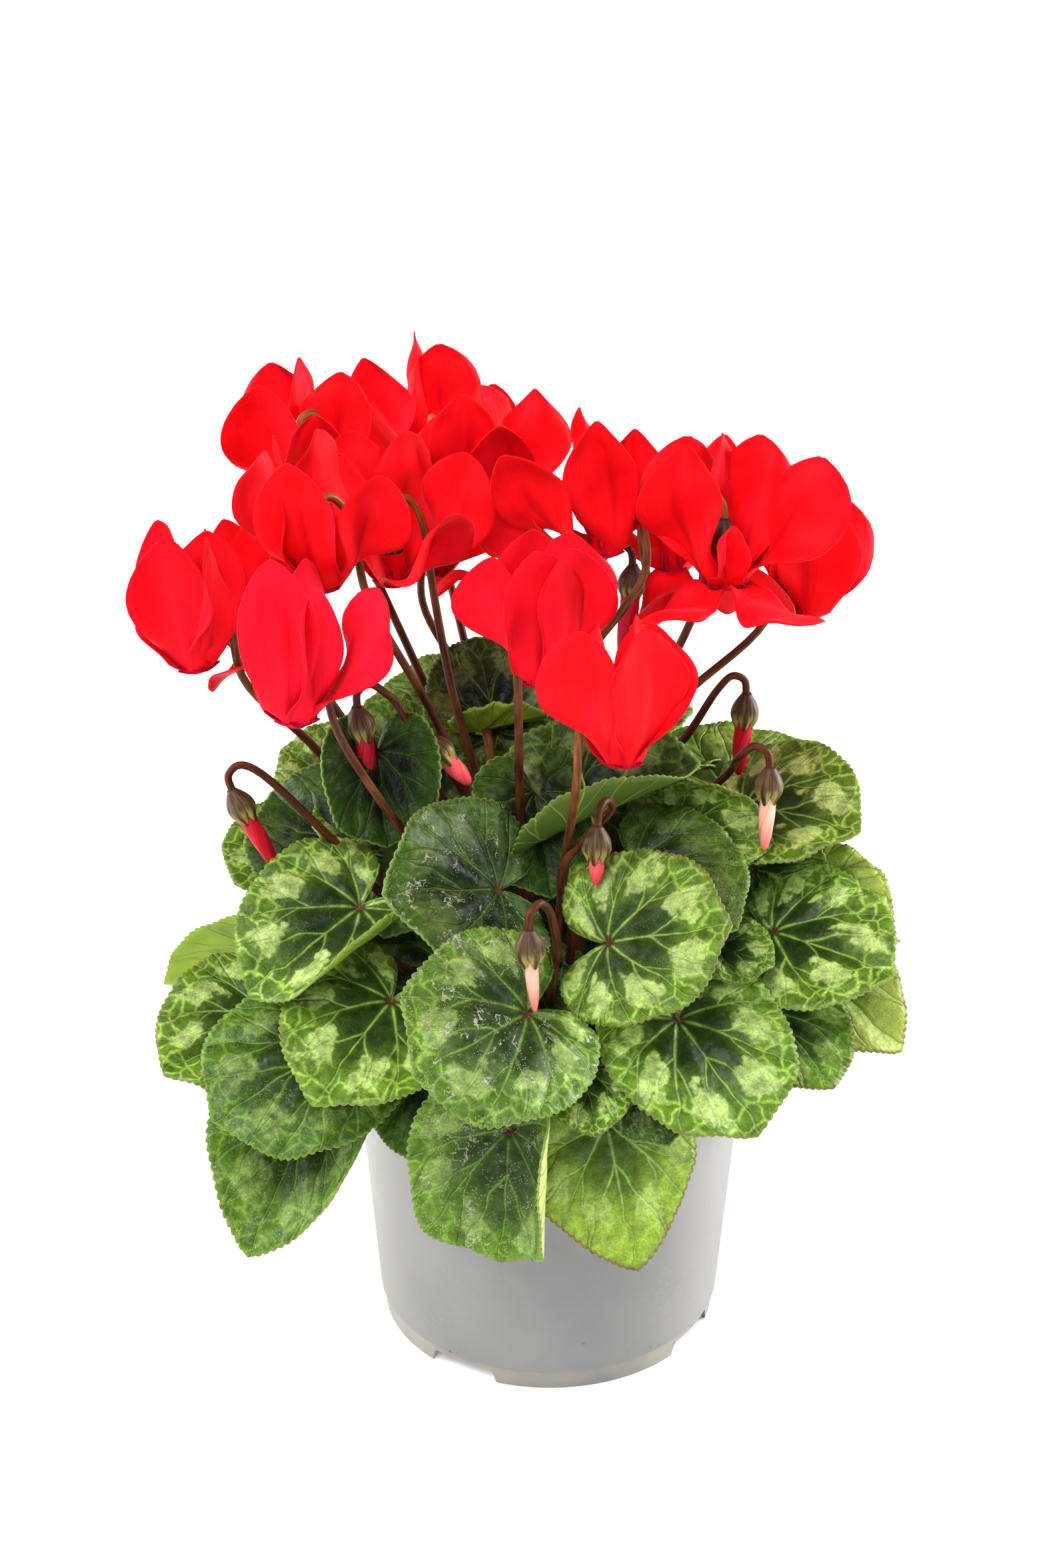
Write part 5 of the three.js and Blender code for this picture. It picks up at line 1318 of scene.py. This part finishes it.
def pot_piece():
    """The profile spun round the pot's axis, with arches cut through its foot and holes through its floor."""
    rows = [(x * MM, 0, z * MM) for x, z in pot_profile()]
    mesh = bpy.data.meshes.new("pot_wall")
    mesh.from_pydata(rows, [(k, k + 1) for k in range(len(rows) - 1)], [])
    pot = bpy.data.objects.new("pot_wall", mesh)
    bpy.context.collection.objects.link(pot)
    with editing(pot):
        bpy.ops.mesh.spin(steps=POT_SIDES, angle=2 * math.pi, center=(0, 0, 0), axis=(0, 0, 1))
        bpy.ops.mesh.select_all(action="SELECT")
        bpy.ops.mesh.remove_doubles(threshold=0.02 * MM)
        bpy.ops.mesh.normals_make_consistent(inside=False)
    for k in range(ARCHES):
        cut(pot, foot_arch(ARCH_FIRST + 360 / ARCHES * k))
    for k in range(DRAIN_HOLES):
        cut(pot, drain_drill(360 / DRAIN_HOLES * k))
    only(pot)
    bpy.ops.object.shade_smooth_by_angle(angle=math.radians(32))
    pot.data.materials.clear()
    pot.data.materials.append(PLASTIC)
    return pot


# Soil and corm

def lumps(points, size, seed):
    """A smooth value between about -1 and 1 at each place in mm, for uneven surfaces."""
    dice = np.random.default_rng(seed)
    value = np.zeros(points.shape[:-1])
    for share in (1, 0.6, 0.35):
        for _ in range(5):
            way = unit(dice.normal(size=3))
            value += share * np.sin(points @ way * (2 * math.pi / (size * share)) + dice.uniform(0, 6.28)) / 5
    return value


def soil_edge(height):
    return inner_radius(height) - GAP / 2


def soil_swell(x, y):
    """How far the peat's top rises over its level."""
    return SOIL_RELIEF * np.sin(0.31 * x + 1.3) * np.cos(0.27 * y) - 0.2


def peat_grains():
    """Loose grains of many sizes, strewn over the peat."""
    dice = np.random.default_rng(21)
    bpy.ops.mesh.primitive_ico_sphere_add(subdivisions=1, radius=1)
    grain = bpy.context.object
    vertices = np.array([v.co[:] for v in grain.data.vertices])
    faces = np.array([p.vertices[:] for p in grain.data.polygons])
    bpy.data.objects.remove(grain)
    far = np.sqrt(dice.uniform(0.08, 1, PEAT_GRAINS)) * (soil_edge(SOIL_LEVEL) - 1)
    heading = dice.uniform(0, 2 * math.pi, PEAT_GRAINS)
    x, y = far * np.cos(heading), far * np.sin(heading)
    level = np.full(PEAT_GRAINS, SOIL_LEVEL)
    height = level + soil_swell(x, y) + SOIL_ROUGHNESS * lumps(np.stack([x, y, level], axis=1), 9, 11)
    size = dice.uniform(0.35, 1.25, PEAT_GRAINS) ** 1.5
    shapes = vertices * dice.uniform(0.6, 1.3, (PEAT_GRAINS, len(vertices), 1)) * size[:, None, None]
    shapes = shapes * [1, 1, 0.75] + np.stack([x, y, height + 0.25 * size], axis=1)[:, None]
    numbers = faces + (np.arange(PEAT_GRAINS) * len(vertices))[:, None, None]
    mesh = bpy.data.meshes.new("grains")
    mesh.from_pydata((shapes.reshape(-1, 3) * MM).tolist(), [], numbers.reshape(-1, 3).tolist())
    grains = bpy.data.objects.new("grains", mesh)
    bpy.context.collection.objects.link(grains)
    return grains


def soil_piece():
    """The peat's uneven top and the plug under it, with its grains."""
    bottom = FLOOR_UNDERSIDE + POT_WALL + 0.1
    edge = soil_edge(SOIL_LEVEL)
    profile = [(0, bottom), (soil_edge(bottom), bottom), (soil_edge(45), 45), (edge, SOIL_LEVEL - 2.5),
               (edge, SOIL_LEVEL - 1)]
    profile += [(radius, SOIL_LEVEL) for radius in np.linspace(edge - 0.4, 0, 46)]
    points, place = turned_grid(profile, 150, (0, 0, 0), UPWARDS)
    x, y, z = (points[..., k] for k in range(3))
    rough = SOIL_ROUGHNESS * lumps(points, 9, 11) + 0.7 * lumps(points, 3.2, 12)
    rise = soil_swell(x, y) + rough * smooth(np.hypot(x, y), 2, 8)
    points[..., 2] += np.where(z > SOIL_LEVEL - 0.1, rise, 0)
    return joined("peat", [grid_piece("peat", points, place), peat_grains()], PEAT)


def root_fibres():
    """Thin brown rootlets on the peat and at the rim of the pot."""
    dice = np.random.default_rng(33)
    strands = []
    for _ in range(ROOT_FIBRES):
        heading = dice.uniform(0, 360)
        start = sideways(heading) * dice.uniform(34, FIBRE_REACH) + UPWARDS * (SOIL_LEVEL + 1.2)
        way = sideways(heading + dice.uniform(60, 120)) * dice.uniform(5, 14)
        bend = np.array([dice.normal(0, 2), dice.normal(0, 2), dice.uniform(0.5, 3.2)])
        end = start + way
        end[:2] *= min(1, FIBRE_REACH / np.linalg.norm(end[:2]))
        end[2] = SOIL_LEVEL + 0.6
        path = bezier([start, start + way * 0.3 + bend, end + bend * 0.4, end], 9)
        strands.append(grid_piece("fibre", *tube_grid(path, np.linspace(0.22, 0.1, 9), 5)))
    return joined("root_fibres", strands, FIBRE)


def corm_piece():
    """A squat ball with a lumpy skin."""
    bpy.ops.mesh.primitive_uv_sphere_add(segments=64, ring_count=36, radius=1)
    corm = named(bpy.context.object, "corm")
    ball = np.array([v.co[:] for v in corm.data.vertices])
    centre = UPWARDS * CORM_CENTRE
    points = ball * [CORM_RADIUS, CORM_RADIUS, CORM_HALF_HEIGHT] + centre
    swell = 1 + 0.035 * lumps(points, 14, 5) + 0.02 * lumps(points, 5, 6)
    points = (points - centre) * swell[:, None] + centre
    corm.data.vertices.foreach_set("co", (points * MM).ravel())
    corm.data.shade_smooth()
    corm.data.materials.append(BARK)
    return corm


# The whole plant in its pot

finish_piece(pot_piece(), "pot", "pot")
finish_piece(soil_piece(), "soil", "soil")
finish_piece(root_fibres(), "soil")
finish_piece(corm_piece(), "stem", "corm_with_stems")
petioles = [petiole(leaf, k) for k, leaf in enumerate(LEAVES, 1)]
finish_piece(joined("petioles", petioles, STEM), "stem", "corm_with_stems")

stalks = []
calyxes = []
heads = [(bloom, TUBE_LENGTH + GAP, True) for bloom in BLOOMS] + [(bud, 0, False) for bud in BUDS]
for k, (head, to_mouth, flanked) in enumerate(heads, 1):
    axis = head_axis(head.lean)
    mouth = np.asarray(head.at, float) + axis * to_mouth
    stalks.append(pedicel(mouth, axis, head.stem, head.via, flanked, k))
    calyxes.append(calyx(mouth, axis, k))
finish_piece(joined("flower_stalks", stalks, STEM), "stem", "corm_with_stems")
finish_piece(joined("calyxes", calyxes, CALYX), "stem", "corm_with_stems")

for k, leaf in enumerate(LEAVES, 1):
    finish_piece(leaf_blade(f"blade_{k:02d}", leaf, k), "leaf", f"leaf_{k:02d}")
for k, bloom in enumerate(BLOOMS, 1):
    finish_piece(bloom_piece(bloom, k), "bloom", f"bloom_{k:02d}")
for k, bud in enumerate(BUDS, 1):
    finish_piece(bud_piece(bud, k), "bud_" + bud.tint, f"bud_{k:02d}")

for k, leaf in enumerate(SMALL_LEAVES, 1):
    blade = leaf_blade(f"small_blade_{k:02d}", leaf, len(LEAVES) + k, YOUNG_LEAF_TEETH, YOUNG_BLADE_RINGS)
    finish_piece(blade, "leaf")
small_petioles = [petiole(leaf, k) for k, leaf in enumerate(SMALL_LEAVES, len(LEAVES) + 1)]
finish_piece(joined("small_petioles", small_petioles, STEM), "stem")


# Floor, light and camera, in metres and degrees

FLOOR_SIZE = 30
SKY_STRENGTH = 0.23
SUN_STRENGTH, SUN_SOFTNESS, SUN_TILT = 3.0, 34, (28, -14, 0)
# Name, place, width and power
LAMPS = [("left light", (-1.4, 0.35, 0.6), 1.1, 26), ("right light", (1.4, 0.35, 0.6), 1.1, 40),
         ("front light", (-0.6, -1.7, 1.3), 0.7, 12)]
LAMPS_AIM = 0.14
CAMERA_PLACE, CAMERA_TILT, CAMERA_LENS = (-0.0083, -0.713, 0.503), 65.5, 61.22


def white_floor():
    bpy.ops.mesh.primitive_plane_add(size=FLOOR_SIZE, location=(0, 0, 0))
    floor = named(bpy.context.object, "floor")
    paint = new_finish("floor paint", base_color=FLOOR_WHITE, roughness=0.8, specular_ior_level=0.2,
                       emission_color=(1.0, 1.0, 1.0), emission_strength=0.2)[0]
    floor.data.materials.append(paint)
    return floor


def add_lights():
    """A white sky, a soft sun and round lamps that face the plant."""
    scene = bpy.context.scene
    scene.world = scene.world or bpy.data.worlds.new("studio")
    scene.world.use_nodes = True
    sky = scene.world.node_tree.nodes["Background"]
    sky.inputs["Color"].default_value = (1.0, 1.0, 1.0, 1.0)
    sky.inputs["Strength"].default_value = SKY_STRENGTH
    bpy.ops.object.light_add(type="SUN", location=(0, 0, 3))
    sun = bpy.context.object
    sun.name = "soft top light"
    sun.data.energy = SUN_STRENGTH
    sun.data.angle = math.radians(SUN_SOFTNESS)
    sun.rotation_euler = [math.radians(angle) for angle in SUN_TILT]
    for name, at, size, power in LAMPS:
        bpy.ops.object.light_add(type="AREA", location=at)
        lamp = bpy.context.object
        lamp.name = name
        lamp.data.shape = "DISK"
        lamp.data.size = size
        lamp.data.energy = power
        to_plant = -lamp.location
        to_plant.z += LAMPS_AIM
        lamp.rotation_euler = to_plant.to_track_quat("-Z", "Y").to_euler()


def add_camera():
    """The camera where the photo was taken from, and how the picture is toned."""
    bpy.ops.object.camera_add(location=CAMERA_PLACE, rotation=(math.radians(CAMERA_TILT), 0, 0))
    camera = bpy.context.object
    camera.data.lens = CAMERA_LENS
    camera.data.sensor_width = 36
    camera.data.clip_start = 0.01
    bpy.context.scene.camera = camera
    bpy.context.scene.view_settings.view_transform = "Standard"
    bpy.context.scene.view_settings.gamma = 0.9


floor = white_floor()
add_lights()
add_camera()
